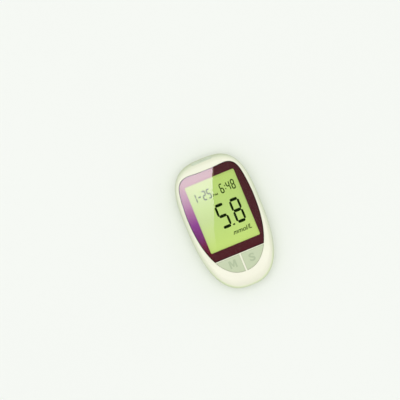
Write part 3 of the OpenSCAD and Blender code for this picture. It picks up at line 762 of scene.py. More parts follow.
# CAD nodes that keep their own shape
cadFinishes = {
    "lens_tape": mouldedPlastic("tapeFoam", "#3a3b3c", 0.75, 0.3, 0.03, 0.12),
    "front_polariser": displayFace,
    "lcd_front_glass": clearSheet("cellGlassFront", "#dfead9"),
    "lcd_rear_glass": clearSheet("cellGlassRear", "#d7e4cf"),
    "rear_polariser": clearSheet("rearFilm", "#a9b894", 0.1, 0.5),
    "light_guide": clearSheet("guideAcrylic", "#dcefb4", 0.1, 0.7),
    "reflector_sheet": mouldedPlastic("reflectorFilm", "#f2f3ef", 0.35, 0.4),
    "lcd_frame": mouldedPlastic("whitePlastic", "#e9eae4", 0.42),
    "zebra_strip": mouldedPlastic("zebraRubber", "#c49aa0", 0.6, 0.2, 0.02, 0.15),
    "backlight_leds": mouldedPlastic("ledResin", "#efe7b8", 0.25, 0.3),
    "circuit_board": circuitBoard("solderMask"),
    "processor_chip": mouldedPlastic("chipResin", "#232425", 0.5, 0.08, 0.01, 0.1),
    "memory_chip": mouldedPlastic("memoryResin", "#262727", 0.48, 0.08, 0.01, 0.1, 9.0),
    "analog_chip": mouldedPlastic("analogResin", "#212223", 0.52, 0.08, 0.01, 0.1, 17.0),
    "crystal": metalFinish("crystalCan", "#cfcfca", 0.22, 0.2),
    "board_components": mouldedPlastic("ceramicBody", "#b99f7c", 0.5, 0.1, 0.01, 0.14),
    "buzzer": mouldedPlastic("blackPlastic", "#1b1c1c", 0.4, 0.12),
    "key_switches": metalFinish("switchSteel", "#c8c7c1", 0.3, 0.2, seed=5.0),
    "left_plunger": mouldedPlastic("plungerLeft", "#202021", 0.4),
    "right_plunger": mouldedPlastic("plungerRight", "#222223", 0.42, seed=8.0),
    "strip_connector": mouldedPlastic("connectorResin", "#1f2021", 0.45, 0.1),
    "strip_contacts": metalFinish("contactGold", "#d7ac4f", 0.22, 0.15),
    "ejector_arm": mouldedPlastic("armPlastic", "#dcdcd4", 0.4, 0.2),
    "cell_contacts": metalFinish("contactNickel", "#c4c3bb", 0.26, 0.2, (0.2, 1, 0.2), seed=7.0),
}
for nodeName, finish in cadFinishes.items():
    nodes[nodeName].data.materials.clear()
    nodes[nodeName].data.materials.append(finish)
print("materials ready:", len(bpy.data.materials))

# Front shell. Cutters run on to these heights, or to this end, past the solid.
beyond = {"top": 22.0, "bottom": -1.0, "endY": -60.0}
frontSizes = {
    **outline, **panel, "openGap": 0.1, "openLip": 0.14,
    "jointZ": walls["joint"] + walls["gap"] / 2, "startZ": walls["joint"] + walls["gap"] / 2,
    "pointsRound": 240, "roundSteps": 20, "faceSteps": 6, "lipSteps": 4,
}
# A half without the panel opening closes at a point of its face.
closedFace = {
    "openHalf": 0.0, "openUp": 0.0, "openDown": 0.0, "openMiddleY": 5.0, "openGap": 0.0, "openLip": 0.0,
}


def frontFace(y):
    return faceHeight(y, outline)


def underFace(points, depth):
    # points at a depth under the front face, or over it where the depth is negative
    return [(x, y, frontFace(y) - depth) for x, y in points]


def ovalHalf(y, inset):
    # half width of the panel oval below its widest place
    return ovalReach(panel["openMiddleY"] - y, panel["openDown"] - inset,
                     panel["openHalf"] - inset, panel["openBottomSquare"])


def ovalAngle(x, y, inset):
    return math.atan2((y - panel["openMiddleY"]) / (panel["openDown"] - inset),
                      x / (panel["openHalf"] - inset))


def insideOf(sizes, faceZ, startZ):
    # the cavity of a half: smaller by a wall, and in coarser steps
    smaller = {name: sizes[name] - walls["side"] for name in ("halfWidth", "up", "down")}
    return {**sizes, **smaller, "faceZ": faceZ, "jointZ": walls["joint"], "startZ": startZ,
            "pointsRound": 120, "roundSteps": 10}


lens = {
    "bottomY": -23.55, "gap": 0.1, "seatZ": (18.3, 19.1), "seatOutset": 0.15, "seatHole": (39, 52, 1.2),
    "low": 19.42, "top": 20.65, "corner": 0.2, "flatInset": 0.06, "swell": 0.06, "keyLine": 0.5,
    "lineOutset": 0.03, "printZ": (19.25, 19.38), "window": (37.2, 50.0, 1.0), "windowY": 8.15,
}


def lensOutline(inset, steps=220):
    # the lens nearly fills its opening
    inset -= lens["swell"]
    lowY = lens["bottomY"] + inset
    start = ovalAngle(ovalHalf(lowY, inset), lowY, inset)
    return [openPoint(angle, panel, -inset) for angle in spread(start, math.pi - start, steps)]


def framed(outer, hole, spanZ):
    # a flat plate with a hole right through it
    low, high = spanZ
    return carved(prism(outer, low, high), prism(hole, low - 1, high + 1))


def windowOf(size):
    width, length, corner = size
    return roundedRectangle(width, length, corner, y=lens["windowY"])


keys = {
    "gap": 0.06, "proud": 0.19, "corner": (0.2, 0.12), "flange": (0.5, 0.6), "flangeUnder": 0.3,
    "flangeAtBar": 0.25, "wall": 1.0, "roof": 1.3, "crownAt": (7.0, -29.6), "sunk": 0.02,
    "barWidth": 1.2, "barDeep": 3.2, "barCorner": 0.1, "barReach": 0.3,
    "ribWidth": 0.6, "ribDeep": 2.4, "ribCorner": 0.12, "ribReach": 0.35,
}
keysTop = lens["bottomY"] - lens["gap"] - keys["ribWidth"]


def keyBars():
    # the rib between lens and keys, and the bar between the keys
    ribY = keysTop + keys["ribWidth"] / 2
    ribHalf = ovalHalf(ribY, -keys["ribReach"])
    ribPath = [(x, ribY, outline["faceZ"] - keys["sunk"]) for x in (-ribHalf, 0, ribHalf)]
    lowest = panel["openMiddleY"] - panel["openDown"]
    barSpan = spread(keysTop + keys["barReach"], lowest - keys["barReach"], 14)
    barPath = underFace([(0, y) for y in barSpan], keys["sunk"])
    return [strip(ribPath, keys["ribWidth"], keys["ribDeep"], keys["ribCorner"]),
            strip(barPath, keys["barWidth"], keys["barDeep"], keys["barCorner"])]


port = {
    "z": 17.0, "width": 15.0, "height": 4.0, "corner": 1.2, "gap": 0.1, "fromY": 43.4, "toY": 50.0,
    "slot": (7.4, 1.4, 0.3), "slotDeep": 12, "mouth": 1.6, "mouthFrom": 2.2, "mouthDeep": 3.5,
}


def portBlock(gap):
    rectangle = roundedRectangle(port["width"] + 2 * gap, port["height"] + 2 * gap, port["corner"])
    block = prism(rectangle, 0, port["toY"] - port["fromY"] + 1)
    return alongY(block, (0, port["fromY"] - gap, port["z"]))


screws = {
    "caseAt": [(14, 38.3), (-14, 38.3), (16.6, -33), (-16.6, -33)],
    "boardAt": [(22.6, 22), (-22.6, 22), (22.6, -12), (-22.6, -12)],
    "boss": 2.6, "bossGap": 0.15, "pilot": 1.0, "pilotDeep": 6, "rearBoss": 2.9,
    "post": 1.5, "postZ": 16.0, "boardPilot": 0.8, "boardPilotDeep": 2.6, "overlap": 0.01,
    "headBore": 2.15, "headDeep": 2.2, "headRim": 0.2, "shankBore": 1.15,
}
# The rear shell's lip, as (inset, height) corners, and the top of the groove that it runs in
lip = {"corners": ((1.1, 7.5), (1.1, 10.55), (1.25, 10.7), (2.1, 10.7), (2.1, 7.5)), "grooveZ": 10.85}


def frontShell():
    joint, postZ, over = walls["joint"], screws["postZ"], screws["overlap"]
    cavity = caseHalf(creamCase, insideOf(
        {**frontSizes, **closedFace}, outline["faceZ"] - walls["roof"], joint - walls["overrun"]))
    bosses = tubesAt(screws["caseAt"], screws["boss"], joint + screws["bossGap"], beyond["top"])
    posts = tubesAt(screws["boardAt"], screws["post"], postZ, beyond["top"])
    cavity = carved(cavity, *bosses, *posts)
    groove = loft([caseRing(walls["side"] / 2, z) for z in (joint - 1, lip["grooveZ"])])
    seat = framed(lensOutline(-lens["seatOutset"]), windowOf(lens["seatHole"]), lens["seatZ"])
    shell = carved(caseHalf(creamCase, frontSizes), cavity, groove)
    shell = carved(shell, seat, *keyBars(), operation="UNION")
    pilots = tubesAt(screws["caseAt"], screws["pilot"], joint, joint + screws["pilotDeep"])
    pilots += tubesAt(screws["boardAt"], screws["boardPilot"], postZ - over, postZ + screws["boardPilotDeep"])
    return carved(shell, *pilots, portBlock(port["gap"]))


shellMesh = frontShell()
settle("frontShell", shellMesh, creamCase, "case", ["front_cover"])
print("front shell ready:", len(shellMesh.polygons), "faces")


def stripPort():
    body = caseHalf(portGrey, {**frontSizes, **closedFace})
    trim = carved(portBlock(0.0), body, operation="INTERSECT")
    width, height, corner = port["slot"]
    through = prism(roundedRectangle(width, height, corner), 0, port["slotDeep"])
    mouth = []
    for part in spread(0, 1, 8):
        grow = 1 + (port["mouth"] - 1) * part * part
        ring = roundedRectangle(width * grow, height * grow, corner * grow)
        mouth.append(raised(ring, part * port["mouthDeep"]))
    through = alongY(through, (0, port["fromY"] - 1, port["z"]))
    flare = alongY(loft(mouth), (0, port["fromY"] + port["mouthFrom"], port["z"]))
    return carved(trim, through, flare)


settle("stripPort", stripPort(), portGrey, "case", ["strip_port"])


# Display

def lensPane():
    corner, top = lens["corner"], lens["top"]
    rings = [(0, lens["low"]), *[(corner * draw, top - corner * drop) for draw, drop in rounding(5)],
             (corner + lens["flatInset"], top)]
    return loft([raised(lensOutline(inset), z) for inset, z in rings])


# The border, and a dark line round it that is painted shade of the gap between the lens and the case
borderEdge = lensOutline(lens["keyLine"])
borderPlate = framed(borderEdge, windowOf(lens["window"]), lens["printZ"])
borderLine = framed(lensOutline(lens["lineOutset"]), borderEdge, lens["printZ"])
pane = settle("lensPane", lensPane(), lensEdge, "case", ["display_lens"])
pane.data.materials.append(lensFace)
for polygon in pane.data.polygons:
    facesUp = polygon.normal.z > 0.5
    polygon.material_index = int(facesUp)
settle("borderPrint", borderPlate, pearlBorder, "case", ["lens_mask"])
settle("borderLine", borderLine, borderDark, "case")

inkLevel = {"low": 18.465, "thick": 0.025}
lit = {"1": "bc", "2": "abged", "4": "fgbc", "5": "afgcd", "6": "afgedc", "8": "abcdefg"}
# Each segment's place in shares of the half width, the half height and the step
segments = {"a": (0, 1, 0), "g": (0, 0, 0), "d": (0, -1, 0),
            "b": (1, 0, 1), "c": (1, 0, -1), "f": (-1, 0, 1), "e": (-1, 0, -1)}
topRow = {"middleY": 14.95, "half": (1.0, 3.1), "across": (1.8, 0.95), "along": (2.8, 0.75), "step": 1.6}
# Heights count from the window's middle; dots are (x, y, width, height).
digitSets = {
    "readingDigits": {
        "finish": displayDark, "marks": [("5", -0.7), ("8", 10.28)], "dots": [(4.3, -11.6, 1.5, 1.15)],
        "middleY": -3.25, "half": (2.9, 8.02), "across": (5.3, 2.15), "along": (6.75, 1.6), "step": 3.97},
    "clockDigits": {
        **topRow, "finish": displayFaint, "marks": [("6", 5.65), ("4", 10.65), ("8", 14.15)],
        "dots": [(8.35, 16.0, 0.8, 0.8), (8.35, 13.7, 0.8, 0.8)]},
    # paler ink: painted glare over the date
    "dateDigits": {
        **topRow, "finish": displayPale, "marks": [("1", -14.6), ("2", -7.45), ("5", -4.0)],
        "dots": [(-11.0, 15.0, 1.8, 1.1)]},
}


def segmentSpots(style):
    halfWide, halfTall = style["half"]
    middleY, low = style["middleY"] + lens["windowY"], inkLevel["low"]
    spots = []
    for digit, middleX in style["marks"]:
        for letter in lit[digit]:
            sideways, up, part = segments[letter]
            turn, bar = (90, style["along"]) if sideways else (0, style["across"])
            y = middleY + halfTall * up + style["step"] * part
            spots.append(spot(middleX + halfWide * sideways, y, low, turn, (*bar, 1)))
    for x, y, width, height in style["dots"]:
        spots.append(spot(x, y + lens["windowY"], low, 0, (width, height, 1)))
    return spots


def barPart(count=28, square=4.2):
    # one display segment, a bar with blunt rounded ends, one unit long and wide
    ring = [eggPoint(wholeTurn * i / count, 0.5, 0, 0.5, 0.5, square, square) for i in range(count)]
    return prism(ring, 0, inkLevel["thick"])


for name, style in digitSets.items():
    ink = scattered(barPart(), segmentSpots(style), style["finish"])
    settle(name, ink, style["finish"], "case")


def lettering(text, box, lean=0.0, bold=0.0, low=0.0, thick=0.025):
    # text as a mesh that fills a box of (left, right, bottom, top)
    curve = bpy.data.curves.new("text", "FONT")
    curve.body = text
    curve.size = 10
    curve.shear = lean
    curve.offset = bold
    curve.extrude = thick / 2
    mesh = meshOf(carrierOf(curve, "text"))
    across, along = [[vertex.co[axis] for vertex in mesh.vertices] for axis in (0, 1)]
    left, right, bottom, top = box
    width, height = max(across) - min(across), max(along) - min(along)
    mesh.transform(Matrix.Translation((-min(across), -min(along), thick / 2)))
    mesh.transform(Matrix.Diagonal(((right - left) / width, (top - bottom) / height, 1, 1)))
    mesh.transform(Matrix.Translation((left, bottom, low)))
    return tidied(mesh)


def blockLetter(points, box, low, thick):
    left, right, bottom, top = box
    spots = [(between(left, right, x), between(bottom, top, y)) for x, y in points]
    return prism(spots, low, low + thick)


# Block letters on a unit square, and the boxes that the small marks fill
blocks = {
    "M": [(0, 0), (0, 1), (0.28, 1), (0.5, 0.45), (0.72, 1), (1, 1), (1, 0), (0.77, 0), (0.77, 0.62),
          (0.58, 0.15), (0.42, 0.15), (0.23, 0.62), (0.23, 0)],
    "P": [(0, 0), (0, 1), (0.75, 1), (1, 0.85), (1, 0.6), (0.75, 0.42), (0.27, 0.42), (0.27, 0)],
    "bowl": [(0.27, 0.6), (0.27, 0.83), (0.66, 0.83), (0.75, 0.77), (0.75, 0.67), (0.66, 0.6)],
}
noon = {"P": (-1.75, -0.4, 19.85, 21.4), "M": (-0.05, 1.75, 19.85, 21.4)}
unit = {"text": "mmol/L", "box": (1.35, 15.2, -10.4, -7.1), "lean": 0.35, "bold": 0.15}


def noonMark():
    low, thick = inkLevel["low"], inkLevel["thick"]
    bowl = blockLetter(blocks["bowl"], noon["P"], low - 1, thick + 2)
    wholeP = carved(blockLetter(blocks["P"], noon["P"], low, thick), bowl)
    return joined(wholeP, blockLetter(blocks["M"], noon["M"], low, thick))


settle("noonMark", noonMark(), displayFaint, "case")
unitText = lettering(**unit, **inkLevel)
settle("unitMark", unitText, displayFaint, "case")
print("display ready")

# Keys
keyMarks = {
    "thick": 0.04, "sunk": 0.02, "bold": 0.3,
    "M": (-9.9, -4.6, -31.95, -26.25), "S": (5.0, 9.2, -32.25, -26.55),
}


def keyOutline(inset, steps=(44, 16, 10)):
    # the right key: round its oval side, then along the rib and down the bar
    innerX, topY = keys["barWidth"] / 2 + max(inset, -keys["flangeAtBar"]), keysTop - inset
    outerX = ovalHalf(topY, inset)
    innerY = panel["openMiddleY"] - ovalReach(
        innerX, panel["openHalf"] - inset, panel["openDown"] - inset, panel["openBottomSquare"])
    start, end = ovalAngle(innerX, innerY, inset), ovalAngle(outerX, topY, inset)
    ovalSteps, ribSteps, barSteps = steps
    points = [openPoint(angle, panel, -inset) for angle in spread(start, end, ovalSteps)[:-1]]
    points += [(x, topY) for x in spread(outerX, innerX, ribSteps)[:-1]]
    return points + [(innerX, y) for y in spread(topY, innerY, barSteps)[:-1]]


def keyPad():
    # a hollow cap on a flange; its crown, rim and underside follow the falling face
    width, height = keys["corner"]
    middleX, middleY = keys["crownAt"]
    gap, proud, under = keys["gap"], keys["proud"], walls["roof"] + keys["flangeUnder"]
    rings = []
    for part in spread(0, 1, 8):
        ring = [(between(middleX, x, part), between(middleY, y, part)) for x, y in keyOutline(gap + width)]
        rings.append(underFace(ring, -proud))
    flangeOut, flangeThick = keys["flange"]
    below = [(gap + width * out, height * drop - proud) for drop, out in rounding(6)[1:]]
    below += [(gap, under), (-flangeOut, under), (-flangeOut, under + flangeThick),
              (gap + keys["wall"], under + flangeThick), (gap + keys["wall"], keys["roof"])]
    rings += [underFace(keyOutline(inset), depth) for inset, depth in below]
    rings.append(underFace([(middleX, middleY)] * len(ring), keys["roof"]))
    return loft(rings)


def onKey(mesh):
    # drapes a thin flat mark over the falling face of a key
    with reshaping(mesh) as shape:
        bmesh.ops.triangulate(shape, faces=shape.faces)
        bmesh.ops.subdivide_edges(shape, edges=shape.edges, cuts=3, use_grid_fill=True)
        for vertex in shape.verts:
            vertex.co.z += frontFace(vertex.co.y) + keys["proud"] - keyMarks["sunk"]
    return tidied(mesh)


rightPad = keyPad()
leftPad = rightPad.copy()
leftPad.transform(Matrix.Scale(-1, 4, (1, 0, 0)))
settle("rightKeyPad", rightPad, keyGreen, "right_key", ["right_button"], 50)
settle("leftKeyPad", tidied(leftPad), keyGreen, "left_key", ["left_button"], 50)
markM = blockLetter(blocks["M"], keyMarks["M"], 0, keyMarks["thick"])
markS = lettering("S", keyMarks["S"], bold=keyMarks["bold"], thick=keyMarks["thick"])
settle("leftKeyMark", onKey(markM), keyLetter, "left_key")
settle("rightKeyMark", onKey(markS), keyLetter, "right_key")
print("keys ready")

# Rear shell. The bay's blocks are (half width, low, high): beside, between and under the cells.
rearSizes = {
    **frontSizes, **closedFace, "openMiddleY": 0.0, "sideDraw": 3.4, "topDraw": 5.0, "bottomDraw": 5.5,
    "fallStart": -1000.0, "faceZ": 0.0,
    "jointZ": walls["joint"] - walls["gap"] / 2, "startZ": walls["joint"] - walls["gap"] / 2,
}
bay = {
    "cellX": 5.75, "cellZ": 8.2, "trough": 5.5, "y": (-37.2, 13.3), "wall": 1.1, "roof": 0.85,
    "blocks": [(12.1, 1.3, 8.2), (5.75, 7.2, 12.8), (14.05, 1.3, 4.2)],
}


def cellTubes(radius, spanY):
    start, end = spanY
    return [alongY(prism(circleOf(0, 0, radius, 64), 0, end - start), (x, start, bay["cellZ"]))
            for x in (-bay["cellX"], bay["cellX"])]


def rearShell():
    (scoopFrom, scoopTo), margin, half = scoop["y"], scoop["wall"], scoop["width"] / 2
    cavity = caseHalf(greenCase, insideOf(rearSizes, walls["floor"], walls["joint"] + walls["overrun"]))
    scoopRoof = slab(half + margin, (scoopFrom - margin, scoopTo + margin), (0, scoop["roofZ"]))
    cavity = carved(cavity, scoopRoof, *tubesAt(screws["caseAt"], screws["rearBoss"], 0, beyond["top"]))
    rim = loft([caseRing(inset, z) for inset, z in lip["corners"]], endless=True)
    outer = (bay["y"][0] - bay["wall"], bay["y"][1] + bay["wall"])
    block = cellTubes(bay["trough"] + bay["roof"], outer)
    block += [slab(halfWidth, outer, (low, high)) for halfWidth, low, high in bay["blocks"]]
    shell = carved(caseHalf(greenCase, rearSizes), cavity)
    shell = carved(shell, rim, *block, operation="UNION")
    cuts = [*cellTubes(bay["trough"], bay["y"]),
            slab(bay["cellX"] + bay["trough"], bay["y"], (0, bay["cellZ"]))]
    return carved(shell, *cuts, *doorCuts(), *screwCuts(), *slideCuts(), soundCuts())


door = {
    "half": 11.8, "gap": 0.25, "rim": 0.25, "rail": 1.0, "railZ": (2.0, 2.6), "slotZ": 1.8, "overlap": 0.1,
    "endY": 14.0, "lipY": -44.4, "lipZ": 4.5, "lipCut": 2.9, "z": 0.2, "thick": 1.3, "bevel": 0.12,
    "railFrom": 2.2, "railShort": 0.8, "railWall": 1.2, "railLow": 1.4, "railGap": 0.05, "railCorner": 0.1,
    "grooves": 6, "firstGroove": -38.0, "pitch": 2.0, "grooveRadius": 0.45, "grooveLength": 14.0,
    "grooveWide": 1.3, "grooveEnd": 0.8, "flatMargin": 1,
    "steps": {"across": 90, "lip": 8, "edge": 12, "flat": 6, "groove": 12, "rest": 14},
}


def doorCuts():
    # the door's opening, the slots of its rails, and the step for its lip
    gap, start = door["gap"], beyond["endY"]
    half, end = door["half"] + gap, door["endY"] + gap
    wide = half + door["rail"]

    def mouth(outset):
        side = half + outset
        return [(side, start), (side, end + outset), (-side, end + outset), (-side, start)]

    return [flared(mouth, door["slotZ"] + door["overlap"], door["rim"]),
            slab(wide, (start, end), (door["slotZ"], door["railZ"][1] + gap)),
            slab(wide, (start, door["lipY"] + door["lipCut"]), (door["slotZ"], door["lipZ"] + gap))]


def screwCuts():
    cuts = []
    for at in screws["caseAt"]:
        cuts.append(roundHole(*at, screws["headBore"], screws["headDeep"], screws["headRim"]))
        cuts += tubesAt([at], screws["shankBore"], beyond["bottom"], beyond["top"])
    return cuts


scoop = {
    "width": 16.0, "y": (19.4, 37.0), "depth": 1.9, "corner": 4.0, "rim": 0.5, "wall": 1.5, "roofZ": 3.3,
}
slider = {
    "width": 11.5, "y": (20.0, 30.4), "z": (0.25, 1.7), "corner": 3.0, "edge": 0.35,
    "stem": (3.6, 22.4, 26.4), "stemGap": 0.2, "stemTop": 3.7, "travel": 6.0, "pitch": 1.8,
    "groove": [(0.02, 3.75), (0.28, 3.6), (0.4, 3.3)],
}


def slideCuts():
    # the finger scoop, and the slot of the slider's stem
    middle, length = sum(scoop["y"]) / 2, scoop["y"][1] - scoop["y"][0]
    stemWidth, stemFrom, stemTo = slider["stem"]
    gap = slider["stemGap"]

    def scoopRing(outset):
        corner = scoop["corner"] + outset
        return roundedRectangle(scoop["width"] + 2 * outset, length + 2 * outset, corner, y=middle)

    return [flared(scoopRing, scoop["depth"], scoop["rim"]),
            slab(stemWidth / 2 + gap, (stemFrom - gap, stemTo + slider["travel"] + gap), (0, 10))]


soundHoles = {"x": -18.5, "y": 4.0, "pitch": 3, "radius": 0.6, "rim": 0.15, "deep": 3}


def soundCuts():
    hole = roundHole(0, 0, soundHoles["radius"], soundHoles["deep"], soundHoles["rim"], 24)
    spots = [spot(soundHoles["x"], soundHoles["y"] + soundHoles["pitch"] * i, 0) for i in (-1, 0, 1)]
    return scattered(hole, spots, greenCase)


rearMesh = rearShell()
settle("rearShell", rearMesh, greenCase, "case", ["rear_cover"])
print("rear shell ready:", len(rearMesh.polygons), "faces")


# Battery door

def rearPoint(x, tilt):
    # a point of the rear cover's outside near the bottom end, at a tilt of its rounded edge
    drawn = 1 - math.cos(tilt)
    down = ovalReach(x, outline["halfWidth"] - drawn * rearSizes["sideDraw"],
                     outline["down"] - drawn * rearSizes["bottomDraw"], outline["bottomSquare"])
    return (x, outline["middleY"] - down, rearSizes["jointZ"] * (1 - math.sin(tilt)))


def grooveDepth(x, part, length):
    # part runs from -1 to 1 across a grip groove; its ends are rounded
    over = share((abs(x) - length / 2 + door["grooveEnd"]) / door["grooveEnd"])
    return door["grooveRadius"] * math.cos(quarterTurn * part) ** 2 * (1 - over * over)


def doorRows(columns):
    # the door's outside, row by row from its lip to its far end
    z, margin, radius, steps = door["z"], door["flatMargin"], door["grooveRadius"], door["steps"]
    heights = (door["lipZ"], door["railZ"][0], z)
    steep, step, low = [math.asin(1 - height / rearSizes["jointZ"]) for height in heights]
    tilts = spread(steep, step, steps["lip"])[:-1] + spread(step, low, steps["edge"])
    rows = [[rearPoint(x, tilt) for x in columns] for tilt in tilts]
    firstFlat = door["firstGroove"] - margin
    for part in spread(0, 1, steps["flat"])[1:]:
        rows.append([(x, between(rearPoint(x, low)[1], firstFlat, part), z) for x in columns])
    for groove in range(door["grooves"]):
        middle = door["firstGroove"] + groove * door["pitch"]
        length = door["grooveLength"] - groove
        for part in spread(-1, 1, steps["groove"]):
            y = middle + radius * part * door["grooveWide"]
            rows.append([(x, y, z + grooveDepth(x, part, length)) for x in columns])
    lastFlat = door["firstGroove"] + (door["grooves"] - 1) * door["pitch"] + margin
    flats = spread(lastFlat, door["endY"], steps["rest"])[1:]
    return rows + [[(x, y, z) for x in columns] for y in flats]


def doorSkin():
    # the rows of the lip reach out over the rails; the others end at the door's sides
    half, rail, steps = door["half"], door["rail"], door["steps"]
    wings = [half + rail / 2, half + rail]
    columns = [-x for x in wings[::-1]] + spread(-half, half, steps["across"]) + wings
    rows = doorRows(columns)
    count = len(columns)
    faces = []
    for row in range(len(rows) - 1):
        for column in range(count - 1):
            wing = column < len(wings) or column >= count - 1 - len(wings)
            if not wing or row < steps["lip"]:
                near = row * count + column
                faces.append((near, near + 1, near + 1 + count, near + count))
    mesh = meshFrom([point for row in rows for point in row], faces)
    with reshaping(mesh) as shape:
        loose = [vertex for vertex in shape.verts if not vertex.link_faces]
        bmesh.ops.delete(shape, geom=loose, context="VERTS")
        bmesh.ops.recalc_face_normals(shape, faces=shape.faces)
        if sum(face.normal.z * face.calc_area() for face in shape.faces) > 0:
            bmesh.ops.reverse_faces(shape, faces=shape.faces)
    carrier = carrierOf(mesh)
    wall = carrier.modifiers.new("wall", "SOLIDIFY")
    wall.thickness = door["thick"]
    wall.offset = -1
    bevel = carrier.modifiers.new("bevel", "BEVEL")
    bevel.limit_method = "ANGLE"
    bevel.angle_limit = math.radians(50)
    bevel.width = door["bevel"]
    bevel.segments = 3
    return meshOf(carrier)


def doorRail(side):
    # edge wall of the door with the rail that runs in the rear shell
    inner, outer = door["half"] - door["railWall"], door["half"] + door["rail"]
    skirt, start, corner = door["half"] - door["railGap"], door["railLow"], door["railCorner"]
    low, high = door["railZ"]
    profile = [(inner, start), (skirt, start), (skirt, low), (outer, low),
               (outer, high - corner), (outer - corner, high), (inner, high)]
    ends = (door["lipY"] + door["railFrom"], door["endY"] - door["railShort"])
    return loft([[(side * x, y, z) for x, z in profile] for y in ends])


doorMesh = joined(doorSkin(), doorRail(-1), doorRail(1))
settle("batteryDoor", doorMesh, greenDoor, "door", ["battery_door"])


def sliderCap():
    low, high = slider["z"]
    edge = slider["edge"]
    middle, length = sum(slider["y"]) / 2, slider["y"][1] - slider["y"][0]
    rings = []
    for rise, draw in rounding(5):
        inset = edge * draw
        ring = roundedRectangle(
            slider["width"] - 2 * inset, length - 2 * inset, slider["corner"] - inset, y=middle)
        rings.append(raised(ring, low + edge * rise))
    rings.append(raised(ring, high))
    profile = [(radius, -reach) for radius, reach in slider["groove"]] + slider["groove"][::-1]
    groove = lathe(profile, 20)
    groove.transform(Matrix.Rotation(quarterTurn, 4, "Y"))
    spots = [spot(0, middle + slider["pitch"] * i, low) for i in (-2, -1, 0, 1, 2)]
    cap = carved(loft(rings), scattered(groove, spots, sliderGreen))
    stemWidth, stemFrom, stemTo = slider["stem"]
    return joined(cap, slab(stemWidth / 2, (stemFrom, stemTo), (high - 0.1, slider["stemTop"])))


settle("ejectSlider", sliderCap(), sliderGreen, "ejector", ["eject_slider"])
print("door and slider ready")

# Screws. Heads are (radius, height) and shanks (radius, length); the turn sets their slots apart.
screwSets = {
    "caseScrews": {"node": "case_screws", "at": screws["caseAt"], "z": screws["headDeep"], "turn": 31,
                   "head": (1.9, 1.4), "shank": (0.95, 11.9)},
    "boardScrews": {"node": "board_screws", "at": screws["boardAt"], "z": 15.0, "turn": 23,
                    "head": (1.5, 1.1), "shank": (0.75, 3.1)},
}
# The thread's sizes count in shank radii, apart from its start and what it leaves free of the length.
thread = {
    "start": 0.5, "free": 1.2, "pitch": 0.62, "root": 0.78, "crest": (0.35, 0.5), "foot": 0.85, "tip": 0.3,
}
screwHead = {
    "dome": 0.25, "domeShare": 0.95, "edge": 0.12,
    "slotReach": 0.62, "slotWide": 0.42, "slotDeep": 0.8, "slotCorner": 0.1, "slotOver": 0.1,
}


def screwPart(head, shank):
    # points up, with its head's bearing face at z = 0
    (headRadius, headHeight), (radius, length) = head, shank
    profile = []
    for part in (0.02, 0.3, 0.55, 0.75, 0.9, 1.0):
        rise = 1 - math.sqrt(1 - part * part * screwHead["domeShare"])
        profile.append((headRadius * part, -headHeight + screwHead["dome"] * rise))
    edge = screwHead["edge"]
    profile += [(headRadius, -edge), (headRadius - edge, 0), (radius, 0)]
    pitch, root = radius * thread["pitch"], radius * thread["root"]
    rise, fall = thread["crest"]
    for i in range(int((length - thread["free"]) / pitch)):
        z = thread["start"] + i * pitch
        profile += [(root, z), (radius, z + pitch * rise), (radius, z + pitch * fall),
                    (root, z + pitch * thread["foot"])]
    profile.append((radius * thread["tip"], length))
    wide, long = screwHead["slotWide"], 2 * headRadius * screwHead["slotReach"]
    low, high = -headHeight - screwHead["slotOver"], -headHeight + screwHead["slotDeep"]
    slots = [prism(roundedRectangle(*sides, screwHead["slotCorner"], steps=2), low, high)
             for sides in ((long, wide), (wide, long))]
    return carved(lathe(profile, 36), *slots)


for name, kind in screwSets.items():
    spots = [spot(x, y, kind["z"], kind["turn"] * i) for i, (x, y) in enumerate(kind["at"])]
    copies = scattered(screwPart(kind["head"], kind["shank"]), spots, screwSteel)
    settle(name, copies, screwSteel, "case", [kind["node"]])

# Springs and cells. A cell's base and contact are (radius, height) pairs, the contact's counted from
# the cell's end; its rim and shoulder are (inset, height) pairs.
spring = {"at": (6.2, 31.0, 7.2), "length": 11.8, "radius": 1.8, "wire": 0.25, "turns": 7}
cell = {
    "radius": 5.25, "length": 44.5, "base": [(0.02, 0.05), (3.9, 0.0)],
    "rim": [(0.6, 0.0), (0.6, 0.2), (0.15, 0.42), (0, 0.6)], "shoulder": [(0, 1.8), (0.1, 1.55), (0.5, 1.25)],
    "contact": [(2.1, 1.2), (1.9, 1.05), (1.9, 0.3), (1.75, 0.08), (1.5, 0), (0.02, 0)],
    "plate": 0.4, "gap": 0.05, "wire": 0.35, "coil": (3.6, 2.2), "coilTurns": 4,
}
springLength = bay["y"][1] - bay["y"][0] - cell["length"] - 2 * (cell["plate"] + cell["gap"])


def returnSpring():
    radius, length = spring["radius"], spring["length"]
    wound = coil(spring["turns"], radius, radius, length, spring["wire"], springSteel)
    piece = settle(
        "returnSpring", alongY(wound, spring["at"]), springSteel, None, ["ejector_spring"])
    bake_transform(piece)


returnSpring()


def cellMesh():
    radius, length = cell["radius"], cell["length"]
    rim = [(radius - inset, z) for inset, z in cell["rim"]]
    shoulder = [(radius - inset, length - z) for inset, z in cell["shoulder"]]
    contact = [(across, length - z) for across, z in cell["contact"]]
    return lathe([*cell["base"], *rim, *shoulder, *contact])


def cellAndCoil(name, x, end, way):
    # each cell stands on a spring at one end of the bay and points at the other end
    rest = end + way * (cell["plate"] + cell["gap"])
    start = rest + way * springLength
    jacket = cellJacket(name + "CellJacket", start + way * cell["length"], way)
    mesh = alongY(cellMesh(), (x, start, bay["cellZ"]), way)
    settle(name + "Cell", mesh, jacket, "case", [name + "_cell"])
    wound = coil(cell["coilTurns"], *cell["coil"], springLength, cell["wire"], springSteel)
    return alongY(wound, (x, rest, bay["cellZ"]), way)


